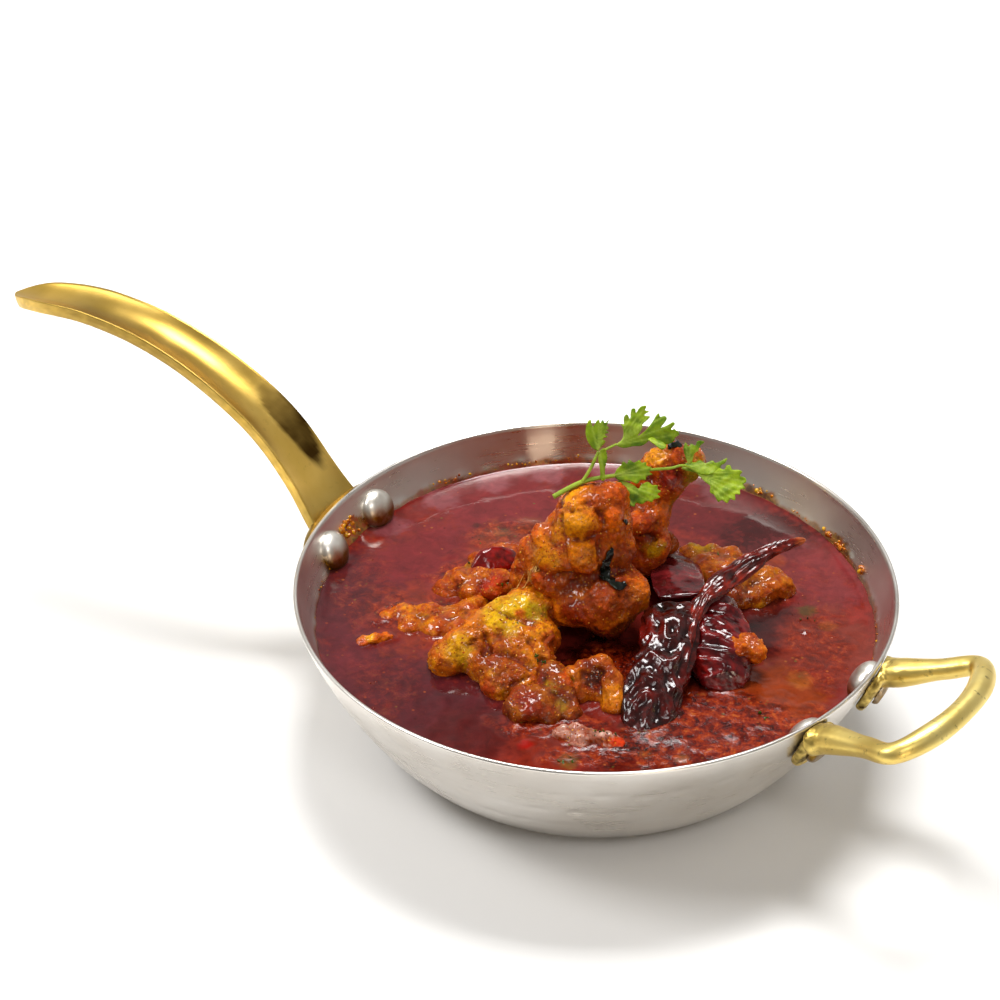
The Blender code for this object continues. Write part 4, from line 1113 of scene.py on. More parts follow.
            (((-3, -38.5, 42), (-2.6, -43, 39), (-2, -46, 36)), 1.2, 0.8),
            (((2.4, -37.5, 42.5), (1.8, -41, 39.5), (1.8, -44, 37)), 1.2, 0.9)],
        "cell": 0.42, "layers": ((5, 0.7, 0), (2.4, 0.35, 0), (1.1, 0.16, 0.5)), "seed": 43,
        "tones": ("#642004", "#904206", "#ac5e0a"), "hollowShade": "#3c1002",
        # painted shade: the near-black spot in the middle stands for the shaded gap under the arch
        # of skin
        "spots": [(6, -44, 38, 4.4, "#b86e10", 0.8), (-6, -41, 39.5, 2.8, "#a85008", 0.7),
                  (0, -38.5, 38.5, 3.4, "#3c1404", 0.95), (-6, -40, 41, 1.4, "#4a5a14", 0.7)]},
    "chicken_back": {
        "balls": [
            (34, 20, 36, 7), (43, 15, 37.5, 7), (52, 16, 36, 6.5), (41, 24, 36, 6.5),
            (30, 28, 36.5, 5), (57, 13, 36, 4.5), (39, 7.5, 36, 6.2), (49, 9, 35.5, 5),
            (37, 28, 38, 3.6), (47, 20, 41, 3.4), (54.5, 10.5, 38, 3), (44, 6, 37, 3)],
        "cell": 0.58, "layers": ((8, 1.2, 0), (3.6, 0.6, 0.2), (1.8, 0.4, 0.5), (0.9, 0.18, 0.5)),
        "seed": 53,
        "tones": ("#6e2c10", "#94502a", "#a87446"), "hollowShade": "#421206",
        "spots": [(50, 12.4, 41.5, 4, "#a8601c", 0.7), (55, 9.7, 38, 4, "#a0480c", 0.8),
                  (42, 6, 40, 5, "#5c2008", 0.85), (33, 28, 41, 4, "#8a7440", 0.7)]},
    "masala_left": {
        "balls": [
            (-42, 14, 34.5, 5.4), (-35, 12, 36, 5.8), (-29, 11, 36.3, 5.2), (-36, 19, 35, 5.2),
            (-45, 10, 33.5, 4.6), (-38, 7.5, 36, 3.6), (-31, 7, 37, 3), (-41, 11, 38, 2.4),
            (-36, 27, 32.8, 4.8), (-30, 31, 33, 4.8), (-25, 32, 32.6, 4.6)],
        "cell": 0.48, "layers": ((6, 0.8, 0), (2.8, 0.3, 0), (1.4, 0.24, 0.4), (0.8, 0.14, 0)),
        "seed": 63,
        "tones": ("#6c2408", "#94400e", "#b46824"), "hollowShade": "#3c0c02",
        "spots": [(-38, 18, 39, 3.4, "#8a7a58", 0.6), (-31, 8, 38, 4, "#a02c08", 0.8)]},
    "masala_far_left": {
        "balls": [
            (-43, -4, 33, 5.4), (-50, -2, 32.8, 5.4), (-57, -1.5, 32.4, 5), (-62, -4, 32, 4.2),
            (-47, -9.5, 32.6, 5.4), (-55, -8.5, 32.4, 5.2), (-38, 0, 33, 5), (-36, 5, 33, 4.6),
            (-40, -10.5, 33, 5.2), (-34, -6, 34, 5), (-66, -7, 31.8, 3.4)],
        "cell": 0.5, "layers": ((7, 0.7, 0), (3, 0.3, 0), (1.5, 0.24, 0.3), (0.9, 0.14, 0)),
        "seed": 73,
        "tones": ("#7c3220", "#a25834", "#ba875c"), "hollowShade": "#4c1006",
        "spots": [(-44, -3, 37, 3, "#9c8060", 0.35)]},
    "masala_front": {
        "balls": [(-8, -58, 33.5, 4), (-2, -59, 34, 4.3), (4, -60, 33.5, 4),
                  (-4, -56, 34.5, 3), (8, -61, 33.5, 2.4)],
        "cell": 0.42, "layers": ((5, 0.9, 0), (2, 0.45, 0), (1, 0.2, 0.3)), "seed": 83,
        # painted sheen: the pale grey-pink tones stand in for the sheen of oil on the onion
        "tones": ("#784a3e", "#9e786c", "#bca296"), "hollowShade": "#4a1a12",
        "spots": [(8, -61, 36, 2.6, "#b03010", 0.8)]},
    "masala_dab": {
        "balls": [(44.5, -24, 43.5, 3.0), (46.5, -27, 42, 3.4), (42.5, -27, 43, 2.9),
                  (40, -24.5, 44, 2.2), (47.5, -25, 43.5, 1.9)],
        "cell": 0.36, "layers": ((3, 0.6, 0), (1.6, 0.35, 0), (0.8, 0.16, 0)), "seed": 93,
        "tones": ("#7c2c06", "#a04a0a", "#bc6814"), "hollowShade": "#541603", "spots": []},
    "masala_bit": {
        "balls": [(-68, -17, 34.6, 2.3), (-65, -16, 34.8, 2.5), (-61.5, -14.5, 34.6, 2.2)],
        "cell": 0.36, "layers": ((3, 0.6, 0), (1.6, 0.3, 0), (0.8, 0.12, 0)), "seed": 103,
        "tones": ("#842c0e", "#b05420", "#c87c3c"), "hollowShade": "#5c1408",
        "spots": [(-66, -17, 37, 1.6, "#d8a030", 0.7)]},
}
chilliPieces = {
    # foldSize: width and length of the folds in mm; foldDepth in mm
    "chilli_long": {
        "path": ((63, 12, 55.5), (53, 7.5, 54.5), (44, 0.5, 52.5), (36.5, -7, 51.5),
                 (31.5, -14, 50), (28.5, -22, 47), (27, -30, 43.5)),
        "halfWidths": (0.8, 2.0, 3.2, 3.4, 2.1, 1.3, 1.0),
        "halfHeights": (0.7, 1.5, 2.1, 2.1, 1.5, 1.0, 0.8), "turns": (20, 15, 10, 0),
        "foldSize": (1.5, 9), "foldDepth": 0.75, "seed": 2,
        "tones": ("#2e0604", "#541008", "#801e0c"), "hollowShade": "#120202",
        "spots": [(62, 11.5, 56, 3, "#a04a18", 0.8), (28, -25, 46, 5, "#581006", 0.8)]},
    "chilli_broad": {
        "path": ((24, -11, 47), (22.3, -21, 45.5), (20.5, -31, 42.5), (17.5, -41, 38.5),
                 (15, -50, 34.5), (13, -56, 31)),
        "halfWidths": (7.4, 8.6, 8.2, 8.0, 8.0, 7.0, 3.6),
        "halfHeights": (2.2, 3.4, 3.6, 3.8, 3.6, 3.2, 2.2), "turns": (-8, 4, 10, 4),
        "foldSize": (3.6, 7.5), "foldDepth": 1.25, "seed": 4,
        "tones": ("#180302", "#300604", "#520c06"), "hollowShade": "#080101",
        "spots": [(16, -24, 47, 5, "#5c0a06", 0.6), (26, -40, 42, 4, "#4c0a06", 0.6)]},
    "chilli_round": {
        "path": ((33, -4, 43), (35, -12, 44), (37, -21, 42), (37, -29, 38.5), (35.5, -36, 34)),
        "halfWidths": (4.5, 7.8, 9.1, 9.4, 8.0, 4),
        "halfHeights": (3, 4.6, 5.0, 5.0, 4.4, 2.8), "turns": (-6, 6, 10),
        "foldSize": (8, 4.6), "foldDepth": 1.3, "seed": 6,
        "tones": ("#260406", "#4c080a", "#74120e"), "hollowShade": "#0e0102",
        # painted sheen: the dull mauve spot on top stands for the bright room mirrored there
        "spots": [(37, -8, 48, 5, "#5e2424", 0.5)]},
    "chilli_skin": {
        "path": ((25, 38, 35), (25, 28, 38), (25, 17, 41.5), (25, 6, 43.5), (26, -4, 44.5)),
        "halfWidths": (0.8, 4.5, 7.5, 8.0, 6.5), "halfHeights": (0.6, 0.9, 1.1, 1.1, 0.9),
        "turns": (8, 4, -4), "foldSize": (5, 7), "foldDepth": 0.35, "seed": 8,
        "tones": ("#3c080c", "#561014", "#6c1a1c"), "hollowShade": "#1c0304",
        # painted shade: the near-black spot stands for a hole in the skin
        "spots": [(24, 21, 41.5, 1.6, "#2a0202", 0.95)]},
    "chilli_scrap": {
        "path": ((-37.5, 14.5, 39.5), (-33, 16.5, 41.5), (-28, 19, 41.5), (-24.5, 22, 40.5)),
        "halfWidths": (1.5, 4.2, 4.0, 1.8), "halfHeights": (0.7, 1.3, 1.2, 0.7),
        "turns": (-40, -34), "foldSize": (6, 6), "foldDepth": 0.3, "seed": 10,
        "tones": ("#4a0403", "#700804", "#900e08"), "hollowShade": "#240202",
        "spots": [(-33, 18, 43, 3, "#6e1414", 0.6)]},
}


foodMeshes = []
for node, piece in (foodPieces | chilliPieces).items():
    name = camelName(node)
    if node in foodPieces:
        mesh = makeLump(name, piece)
        chicken = node.startswith("chicken")
        material, slot = ((spicedChicken, "spiced_chicken") if chicken
                          else (onionMasala, "masala"))
        hollowDepth = 0.5
    else:
        mesh, material, slot, hollowDepth = makeChilli(piece), chilliSkin, "dried_chilli", 0.25
    paintMesh(mesh, piece["tones"], piece["spots"], piece["seed"], piece["hollowShade"], hollowDepth)
    finishPiece(addPiece(name, mesh, material), slot, node)
    foodMeshes.append(mesh)


print("coriander")

sprig = {
    # stems: points in mm on the plate, then the thickness at both ends
    "stems": [
        (((-12.5, -1, 77.4), (-5.8, 1.5, 80.3), (-1.2, 3, 81.2), (5.2, 4, 81.9)), 0.75, 0.6),
        (((-4.1, 2, 81), (-1.7, 4, 84.6), (0.3, 5, 89.3)), 0.55, 0.4),
        (((0.6, 5, 88.9), (2.9, 6.5, 89.6), (5.5, 8, 90.2)), 0.4, 0.35),
        (((4.6, 4, 81.8), (14.2, 8, 81.4), (21.4, 11, 80.4), (25.5, 12, 80.8),
          (29.6, 12, 78.6)), 0.5, 0.35),
    ],
    # leaves: the outline (across, up the leaning plane) in mm from the root, then how far
    # back the root lies and how the blade falls back across and upwards
    "leaves": [
        (((0.3, 44.6), (-1.4, 45.7), (-2.9, 48.2), (-3.5, 51.1), (-3.2, 53.9), (-2.3, 55.4),
          (-1.7, 53.9), (-1.4, 52.9), (-0.3, 55.0), (0.3, 55.4), (0.6, 54.3), (1.4, 55.4),
          (2.0, 54.3), (3.2, 55.4), (2.6, 53.6), (3.2, 52.5), (2.3, 51.8), (3.2, 51.1),
          (2.0, 50.4), (2.9, 49.6), (1.4, 48.9), (2.3, 47.9), (1.2, 46.4)), 5, (-0.1, 0.15)),
        (((5.2, 47.1), (7.0, 48.9), (7.5, 51.1), (7.2, 53.2), (6.7, 54.6), (7.5, 54.3),
          (7.5, 56.8), (8.4, 57.9), (9.3, 56.4), (9.6, 59.6), (10.7, 60.0), (11.0, 58.6),
          (12.2, 60.7), (13.9, 61.1), (13.6, 59.6), (14.8, 59.3), (13.3, 57.9), (15.1, 57.5),
          (14.2, 56.1), (13.0, 54.6), (12.8, 52.9), (11.6, 50.4), (13.6, 52.1), (15.7, 55.4),
          (17.1, 58.2), (17.7, 58.6), (18.0, 57.5), (19.4, 57.9), (20.0, 56.8), (19.1, 55.0),
          (18.3, 53.6), (20.3, 54.6), (21.7, 55.7), (22.3, 55.0), (21.2, 53.2), (22.6, 53.2),
          (23.8, 51.8), (22.6, 50.4), (22.3, 49.3), (20.9, 48.2), (19.7, 47.9), (17.1, 49.3),
          (15.7, 49.6), (14.2, 48.2), (12.8, 47.1), (10.4, 46.8), (7.5, 46.1)), 8, (0.2, 0.3)),
        (((14.5, 49.3), (16.5, 47.5), (18.6, 45.7), (20.0, 46.8), (19.1, 48.2), (17.4, 49.3),
          (15.7, 50.0)), 9, (0.2, 1.0)),
        (((0.6, 44.6), (2.0, 45.7), (2.9, 42.5), (2.3, 38.9), (2.3, 34.6), (1.2, 34.6),
          (0.9, 38.2), (0.3, 41.8)), 5, (0.3, 0.35)),
        (((4.9, 36.1), (5.8, 38.6), (7.0, 40.0), (7.5, 41.4), (8.7, 40.7), (9.3, 42.1),
          (10.7, 41.1), (12.2, 42.1), (13.0, 41.1), (14.2, 41.4), (14.5, 40.0), (15.9, 39.6),
          (15.1, 38.2), (16.2, 37.1), (14.5, 36.4), (14.2, 35.0), (12.8, 35.0), (11.9, 33.6),
          (10.1, 34.3), (8.1, 34.6), (6.4, 34.6)), 4, (0.15, 0.5)),
        (((5.8, 34.3), (7.5, 34.6), (9.3, 33.9), (11.0, 32.9), (12.2, 31.8), (13.0, 33.2),
          (14.8, 34.3), (16.2, 33.2), (17.7, 33.2), (17.7, 31.8), (18.8, 31.1), (17.7, 30.0),
          (18.6, 28.9), (16.8, 28.2), (16.2, 27.1), (14.8, 27.5), (13.3, 26.4), (11.6, 26.8),
          (11.0, 25.4), (9.6, 26.1), (9.0, 28.2), (7.2, 31.1)), 4, (0.05, 0.5)),
        (((26.7, 41.4), (25.8, 43.9), (25.2, 46.8), (25.8, 48.9), (26.7, 47.5), (27.5, 48.6),
          (28.7, 47.9), (29.3, 49.6), (31.3, 49.3), (30.1, 47.9), (29.6, 46.1), (28.4, 45.0),
          (27.8, 41.8)), 12, (0.1, 0.3)),
        (((24.9, 39.6), (25.8, 41.4), (27.2, 42.1), (29.0, 42.1), (30.4, 42.9), (31.9, 41.8),
          (33.9, 42.9), (35.1, 42.1), (38.3, 43.9), (37.7, 42.1), (36.5, 41.1), (36.2, 39.3),
          (34.2, 38.2), (32.2, 37.5), (30.1, 37.9), (28.4, 38.6), (26.7, 38.9)),
         12, (0.1, 0.8)),
        (((29.3, 38.2), (31.9, 37.5), (34.2, 38.2), (35.9, 40.0), (37.4, 39.6), (38.0, 41.1),
          (39.1, 41.1), (39.7, 39.6), (41.4, 39.6), (42.6, 38.9), (42.0, 37.5), (43.5, 36.8),
          (43.8, 35.4), (42.9, 34.3), (43.5, 32.9), (42.0, 32.5), (42.0, 30.7), (40.6, 30.7),
          (40.6, 28.6), (39.1, 28.9), (38.3, 27.5), (36.8, 28.6), (35.7, 27.9), (34.5, 30.4),
          (33.3, 31.4), (33.3, 33.6), (31.9, 35.0), (30.4, 36.8)), 12, (-0.1, 0.6)),
    ],
    "thickness": 0.26,
    "cell": 0.5,            # triangles this large, in mm
    # height of the outlines' zero on the plate, and how much the plane that they are drawn
    # in leans back
    "height": 48.5, "lean": 0.7036,
}


def makeLeaf(outline, back, fall, seed):
    # fills the toothed outline, bends it and marks the veins; returns points, faces, veins
    closed = smoothPath([(x, h, 0) for x, h in (*outline, outline[0])], 3)[:-1]
    corners = [p.xy for p in closed]
    left, right = min(p.x for p in corners), max(p.x for p in corners)
    low, high = min(p.y for p in corners), max(p.y for p in corners)
    cell = sprig["cell"]
    inner = [Vector((left + cell * (i + 0.5 * (j % 2)), low + cell * j))
             for j in range(int((high - low) / cell) + 1)
             for i in range(int((right - left) / cell) + 1)]
    inner = [p for p in inner if min((p - q).length for q in corners) > 0.6 * cell]
    flat, _, faces, *_ = delaunay_2d_cdt(corners + inner, [], [list(range(len(corners)))],
                                         1, 1e-5)
    root = Vector(outline[0])
    away = [(Vector(p) - root).length for p in outline]
    tips = [Vector(p) for i, p in enumerate(outline)
            if away[i] > 2.5 and away[i] >= away[i - 1]
            and away[i] >= away[(i + 1) % len(outline)]]
    verts, veins = [], []
    for p in flat:
        x, h = p - root
        bend = 0.9 * wobble((x, h, 0), 6, 2, seed) + 0.25 * wobble((x, h, 0), 1.6, 1, seed)
        share = min(math.hypot(x, h), 8) / 8
        depth = back + fall[0] * x + fall[1] * h + bend * share
        verts.append(Vector((p.x, depth, sprig["height"] + p.y - sprig["lean"] * depth)))
        vein = 0.0
        for tip in tips:
            step = tip - root
            along = min(max((p - root).dot(step) / step.length_squared, 0.0), 0.93)
            gap = (p - root - step * along).length
            vein = max(vein, (1 - 0.5 * along) * math.exp(-(gap / 0.26) ** 2))
        veins.append(vein)
    return verts, [tuple(face) for face in faces], veins


# Fresh coriander: thin, matt leaves with pale veins; light comes through them
def makeLeafMaterial():
    material, tree, shader, place = startMaterial(
        "freshCoriander", Roughness=0.5, IOR=1.42, Specular_IOR_Level=0.3,
        Subsurface_Weight=0.25, Subsurface_Radius=(0.6, 1.0, 0.2), Subsurface_Scale=1.2 * mm)
    vein = addNode(tree, "ShaderNodeAttribute", attribute_name="vein").outputs["Fac"]
    cloud = addNode(tree, "ShaderNodeTexNoise", {"Vector": place, "Scale": 260.0, "Detail": 4.0})
    green = addNode(tree, "ShaderNodeValToRGB", {"Fac": cloud},
                    stops=[(0.32, "#4c6c06"), (0.5, "#78900a"), (0.68, "#98ae16")])
    mixed = addNode(tree, "ShaderNodeMix", {0: vein, 6: green, 7: hexColour("#a8bc48")},
                    data_type="RGBA")
    fine = addNode(tree, "ShaderNodeTexNoise", {"Vector": place, "Scale": 900.0, "Detail": 3.0})
    finishMaterial(tree, shader, mixed, (fine, 0.4, 0.4))
    return material


def makeStem(points, thick, thin):
    path = smoothPath(points, 10)
    rings = []
    for i, point in enumerate(path):
        ahead = heading(path, i)
        side = ahead.cross(Vector((0.1, 0.2, 1))).normalized()
        up = side.cross(ahead)
        radius = thick + (thin - thick) * i / (len(path) - 1)
        rings.append([point + (side * math.cos(a) + up * math.sin(a)) * radius
                      * (1 + 0.08 * math.cos(4 * a)) for a in circle(16)])
    return skinRings(rings)


def makeSprig():
    leaves = [makeLeaf(*leaf, seed=i + 1) for i, leaf in enumerate(sprig["leaves"])]
    blades = meshFrom("blades", *joinParts([leaf[:2] for leaf in leaves]))
    storeValues(blades, "vein", [vein for leaf in leaves for vein in leaf[2]])
    bm = bmesh.new()
    bm.from_mesh(blades)
    bmesh.ops.remove_doubles(bm, verts=bm.verts[:], dist=0.02)
    bmesh.ops.recalc_face_normals(bm, faces=bm.faces[:])
    bm.to_mesh(blades)
    bm.free()
    obj = addPiece("corianderSprig", blades, makeLeafMaterial())
    plate = obj.modifiers.new("thickness", "SOLIDIFY")
    plate.thickness = sprig["thickness"]
    plate.offset = 0.0
    bakeModifiers(obj)
    stems = meshFrom("stems", *joinParts([makeStem(*stem) for stem in sprig["stems"]]))
    storeValues(stems, "vein", [0.45] * len(stems.vertices))
    tidyMesh(stems)
    joinMeshes([obj.data, stems], obj.data)
    obj.data.transform(platingFrame)
    obj.data.shade_smooth()
    return obj


finishPiece(makeSprig(), "coriander_leaf", "coriander")


print("gravy")

gravyShape = {
    "cells": 280,                           # across the pan
    "wallCreep": 0.9, "wallReach": 1.7,     # meniscus at the wall, mm
    "pieceCreep": 0.4, "pieceReach": 0.8,   # meniscus round each piece, mm
    "edgeHeight": 35.9,
    # swellings: x, y, half length, half width, height in mm
    "domes": [(20, -57, 7, 3.6, 0.5), (39.5, -55.8, 2.8, 2.3, 0.4), (62.8, -6.9, 1.2, 1.1, 0.5),
              (-30, 38, 9, 5, 0.45), (-21, 46, 6, 4, 0.35), (25, -66.7, 2, 1.3, 0.2),
              (47, -51, 3.5, 2.2, 0.2), (30, -62, 3, 2, 0.12), (54, -42, 3, 2, 0.16),
              (-17, -61, 2.2, 1.6, 0.12)],
    # where masala thickens it: x, y, half length, half width in mm, strength
    "thick": [(34, -56, 30, 20, 1.0), (0, -64, 16, 7, 0.9), (-47, -3, 22, 11, 0.7),
              (-36, 16, 14, 9, 0.7), (-27, 40, 13, 9, 0.6), (-70, 8, 9, 26, 0.25),
              (-60, -35, 12, 22, 0.2), (47, 14, 14, 12, 0.4), (66, -14, 10, 22, 0.45),
              (-12, -54, 16, 6, 0.9), (8, -26, 12, 10, 0.8), (60, 20, 16, 14, 0.2)],
    # colours: x, y, radius in mm, hex, strength; among them painted shade next to the food and a
    # painted reflection of the wall along the back edge
    "zones": [
        (-72, 5, 30, "#4a1a1f", 0.9), (-62, -30, 26, "#54191f", 0.9),
        (-46, -48, 24, "#441419", 0.9),
        (-52, 26, 20, "#681a1c", 0.9), (-30, 58, 26, "#6c2022", 0.9), (5, 66, 20, "#601719", 0.9),
        (40, 58, 22, "#561416", 0.9), (58, 42, 17, "#360404", 0.9), (66, 22, 20, "#74292a", 0.9),
        (68, -14, 20, "#702a1e", 0.9), (50, 2, 10, "#4c1616", 0.8), (48, -12, 9, "#3c1212", 0.9),
        (52, -38, 16, "#7c3010", 0.9), (34, -56, 18, "#500a02", 0.9), (12, -66, 12, "#4c0a02", 0.9),
        (-16, -64, 14, "#742010", 0.85), (-34, -60, 14, "#48100e", 0.8),
        # painted shade over the gravy's own dark red: at the chicken's foot (4, -26), at the broad
        # chilli's tip (16, -58) and between the chillies (28, -34)
        (4, -26, 15, "#1c0201", 0.95), (16, -58, 9, "#200402", 0.8), (28, -34, 7, "#1e0402", 0.8),
        (-48, -4, 20, "#7c2a14", 0.7), (-30, 38, 10, "#7c361c", 0.8), (-21, 46, 6, "#743418", 0.7),
        (-36, 24, 10, "#7c2618", 0.7), (48, 16, 13, "#5a2014", 0.7),
        (-6.3, -68.4, 3.4, "#6c5c20", 0.7), (15, -65.4, 2.2, "#5c4a14", 0.7),
        (-18.4, -62.4, 2.4, "#8c0c04", 0.9), (25, -66.7, 1.8, "#c08048", 0.8),
        # painted reflection: the seven mauve patches along the back edge, from -66, 44 round to 40,
        # 68, stand for the wall mirrored in the gravy
        (-66, 44, 6, "#7c464c", 0.5), (-50, 60, 6, "#844c50", 0.55), (-34, 71, 6, "#884e52", 0.6),
        (-16, 77, 6, "#884e52", 0.6), (3, 79, 6, "#844a50", 0.6), (22, 76, 6, "#7c4448", 0.55),
        (40, 68, 6, "#743e42", 0.5), (60, -30, 4, "#94501c", 0.6), (64, 4, 3, "#3c4414", 0.6),
        (56, 30, 4, "#883818", 0.6), (70, -4, 3, "#8c4a1c", 0.6),
        (-30, 42, 3, "#5c5230", 0.5), (-38, 46, 1.6, "#3c1a14", 0.6), (20, 60, 2, "#3a1a18", 0.5)],
}


def discPoint(a, b):
    # a square grid laid evenly over a disc
    if abs(a) < 1e-9 and abs(b) < 1e-9:
        return 0.0, 0.0
    if abs(a) > abs(b):
        r, turn = a, math.pi / 4 * b / a
    else:
        r, turn = b, math.pi / 2 - math.pi / 4 * a / b
    return r * math.cos(turn), r * math.sin(turn)


def makeGravy(foodTree):
    shape = gravyShape
    n = shape["cells"]
    edge = innerRadius(shape["edgeHeight"] * mm) + 0.15 * mm
    spots = [Vector((*(c * edge for c in discPoint(2 * i / n - 1, 2 * j / n - 1)), gravyLevel))
             for j in range(n + 1) for i in range(n + 1)]
    places = plated(np.array(spots))
    broad = noiseOver(spots, 7 * mm, 2, 51)
    thick = np.zeros(len(spots))
    for x, y, halfLength, halfWidth, strength in shape["thick"]:
        away = np.hypot((places[:, 0] - x) / halfLength, (places[:, 1] - y) / halfWidth)
        thick = np.maximum(thick, strength * np.clip((1.2 - away - 0.5 * broad) / 0.5, 0, 1))
    lift = broad * 0.05 + thick * (0.09 * noiseOver(spots, 3.4 * mm, 2, 52)
                                   + 0.03 * noiseOver(spots, 1.5 * mm, 1, 53) + 0.1)
    for x, y, halfLength, halfWidth, height in shape["domes"]:
        away = ((places[:, 0] - x) / halfLength) ** 2 + ((places[:, 1] - y) / halfWidth) ** 2
        lift += height * np.exp(-away ** 1.6)
    points = []
    for spot, rise in zip(spots, lift):
        fromWall = edge - math.hypot(spot.x, spot.y)
        rise = rise * smoothStep(0, 2 * mm, fromWall) + shape["wallCreep"] * math.exp(
            -fromWall / (shape["wallReach"] * mm))
        near = foodTree.find_nearest(spot, 9 * mm)
        if near[0] is not None:
            rise += shape["pieceCreep"] * math.exp(-near[3] / (shape["pieceReach"] * mm))
        points.append(spot + Vector((0, 0, rise * mm)))
    row = n + 1
    faces = [(j * row + i, j * row + i + 1, (j + 1) * row + i + 1, (j + 1) * row + i)
             for j in range(n) for i in range(n)]
    # the edge of the grid, in order round the pan, goes down the wall to the floor
    rim = list(range(n)) + [j * row + n for j in range(n)]
    rim += [n * row + i for i in range(n, 0, -1)] + [j * row for j in range(n, 0, -1)]
    ring = rim
    below = [wallPoint(z * mm, panShape["wall"] + 0.2 * mm) for z in (33, 26, 18, 10, 5, 3)]
    floorHeight = 1.6 * mm
    for radius, lifted in below + [(56 * mm, floorHeight)]:
        lower = []
        for index in rim:
            turn = math.atan2(points[index].y, points[index].x)
            lower.append(len(points))
            points.append(Vector((radius * math.cos(turn), radius * math.sin(turn), lifted)))
        faces += [(ring[k], lower[k], lower[(k + 1) % len(rim)], ring[(k + 1) % len(rim)])
                  for k in range(len(rim))]
        ring = lower
    hub = len(points)
    points.append(Vector((0, 0, floorHeight)))
    faces += [(hub, ring[(k + 1) % len(rim)], ring[k]) for k in range(len(rim))]
    mesh = meshFrom("gravySurface", points, faces)
    storeValues(mesh, "thick", list(thick) + [0.0] * (len(points) - len(thick)))
    tidyMesh(mesh)
    paintMesh(mesh, ("#581612", "#681d18", "#762218"),
              [(x, y, 35.5, radius, tone, strength) for x, y, radius, tone, strength
               in shape["zones"]], 111)
    return addPiece("gravySurface", mesh, oilyGravy)


# what the gravy creeps up and the bits lie on
solids = foodMeshes + [node.data for name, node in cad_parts.items() if "_rivet_" in name]
foodTree = BVHTree.FromPolygons(*joinParts(
    ([v.co.copy() for v in mesh.vertices], [p.vertices for p in mesh.polygons])
    for mesh in solids))
gravy = makeGravy(foodTree)
finishPiece(gravy, "gravy", "gravy")


print("spice, herbs and drips")


# Bits of spice and herb wet with oil: three tones by the cloud, glossy
def makeBitMaterial(name, tones, roughness):
    material, tree, shader, place = startMaterial(name, Roughness=roughness, IOR=1.45)
    cloud = addNode(tree, "ShaderNodeTexNoise", {"Vector": place, "Scale": 420.0, "Detail": 3.0})
    tone = addNode(tree, "ShaderNodeValToRGB", {"Fac": cloud},
                   stops=list(zip((0.38, 0.5, 0.62), tones)))
    fine = addNode(tree, "ShaderNodeTexNoise", {"Vector": place, "Scale": 1500.0, "Detail": 2.0})
    finishMaterial(tree, shader, tone, (fine, 0.4, 0.1))
    return material


def makeScatterTree(name, onFaces):
    # sets a bit on faces, as thickly as their "spread" says, or on each point, as large
    # as its "size" says
    tree = bpy.data.node_groups.new(name, "GeometryNodeTree")
    sockets = (("Geometry", "Geometry"), ("Bit", "Object"), ("Material", "Material"),
               ("Density", "Float"), ("Smallest", "Float"), ("Largest", "Float"),
               ("Seed", "Int"))
    for label, kind in sockets:
        tree.interface.new_socket(label, in_out="INPUT", socket_type="NodeSocket" + kind)
    tree.interface.new_socket("Geometry", in_out="OUTPUT", socket_type="NodeSocketGeometry")
    given = addNode(tree, "NodeGroupInput").outputs
    bit = addNode(tree, "GeometryNodeObjectInfo", {"Object": given["Bit"]}).outputs["Geometry"]
    size = addNode(tree, "FunctionNodeRandomValue", {
        2: given["Smallest"], 3: given["Largest"], "Seed": given["Seed"]}, data_type="FLOAT")
    if onFaces:
        spread = addNode(tree, "GeometryNodeInputNamedAttribute", {"Name": "spread"},
                         data_type="FLOAT").outputs["Attribute"]
        density = addNode(tree, "ShaderNodeMath", {0: spread, 1: given["Density"]},
                          operation="MULTIPLY")
        spots = addNode(tree, "GeometryNodeDistributePointsOnFaces", {
            "Mesh": given["Geometry"], "Density": density, "Seed": given["Seed"]}).outputs
        placed = addNode(tree, "GeometryNodeInstanceOnPoints", {
            "Points": spots["Points"], "Instance": bit, "Rotation": spots["Rotation"],
            "Scale": size})
        tilt = addNode(tree, "FunctionNodeRandomValue", {
            0: (-0.5, -0.5, 0), 1: (0.5, 0.5, 6.28), "Seed": given["Seed"]},
            data_type="FLOAT_VECTOR")
        turned = addNode(tree, "GeometryNodeRotateInstances", {
            "Instances": placed, "Rotation": tilt})
    else:
        own = addNode(tree, "GeometryNodeInputNamedAttribute", {"Name": "size"},
                      data_type="FLOAT").outputs["Attribute"]
        scaled = addNode(tree, "ShaderNodeMath", {0: own, 1: size}, operation="MULTIPLY")
        spin = addNode(tree, "FunctionNodeRandomValue", {
            0: (0, 0, 0), 1: (6.28, 6.28, 6.28), "Seed": given["Seed"]},
            data_type="FLOAT_VECTOR")
        turned = addNode(tree, "GeometryNodeInstanceOnPoints", {
            "Points": given["Geometry"], "Instance": bit, "Rotation": spin, "Scale": scaled})
    real = addNode(tree, "GeometryNodeRealizeInstances", {"Geometry": turned})
    dressed = addNode(tree, "GeometryNodeSetMaterial", {
        "Geometry": real, "Material": given["Material"]})
    addNode(tree, "NodeGroupOutput", {"Geometry": dressed})
    return tree


def makeBit(name, shape, finer, seed):
    # an uneven grain 2 mm long at scale 1, with the given shares of length, width, height
    bm = bmesh.new()
    bmesh.ops.create_icosphere(bm, subdivisions=2 if finer else 1, radius=mm)
    for vert in bm.verts:
        vert.co *= 1 + 0.3 * wobble(vert.co, 1.1 * mm, 1, seed)
        vert.co = Vector([c * k for c, k in zip(vert.co, shape)])
    mesh = bpy.data.meshes.new(name)
    bm.to_mesh(mesh)
    bm.free()
    mesh.shade_smooth()
    return linkObject(name, mesh)


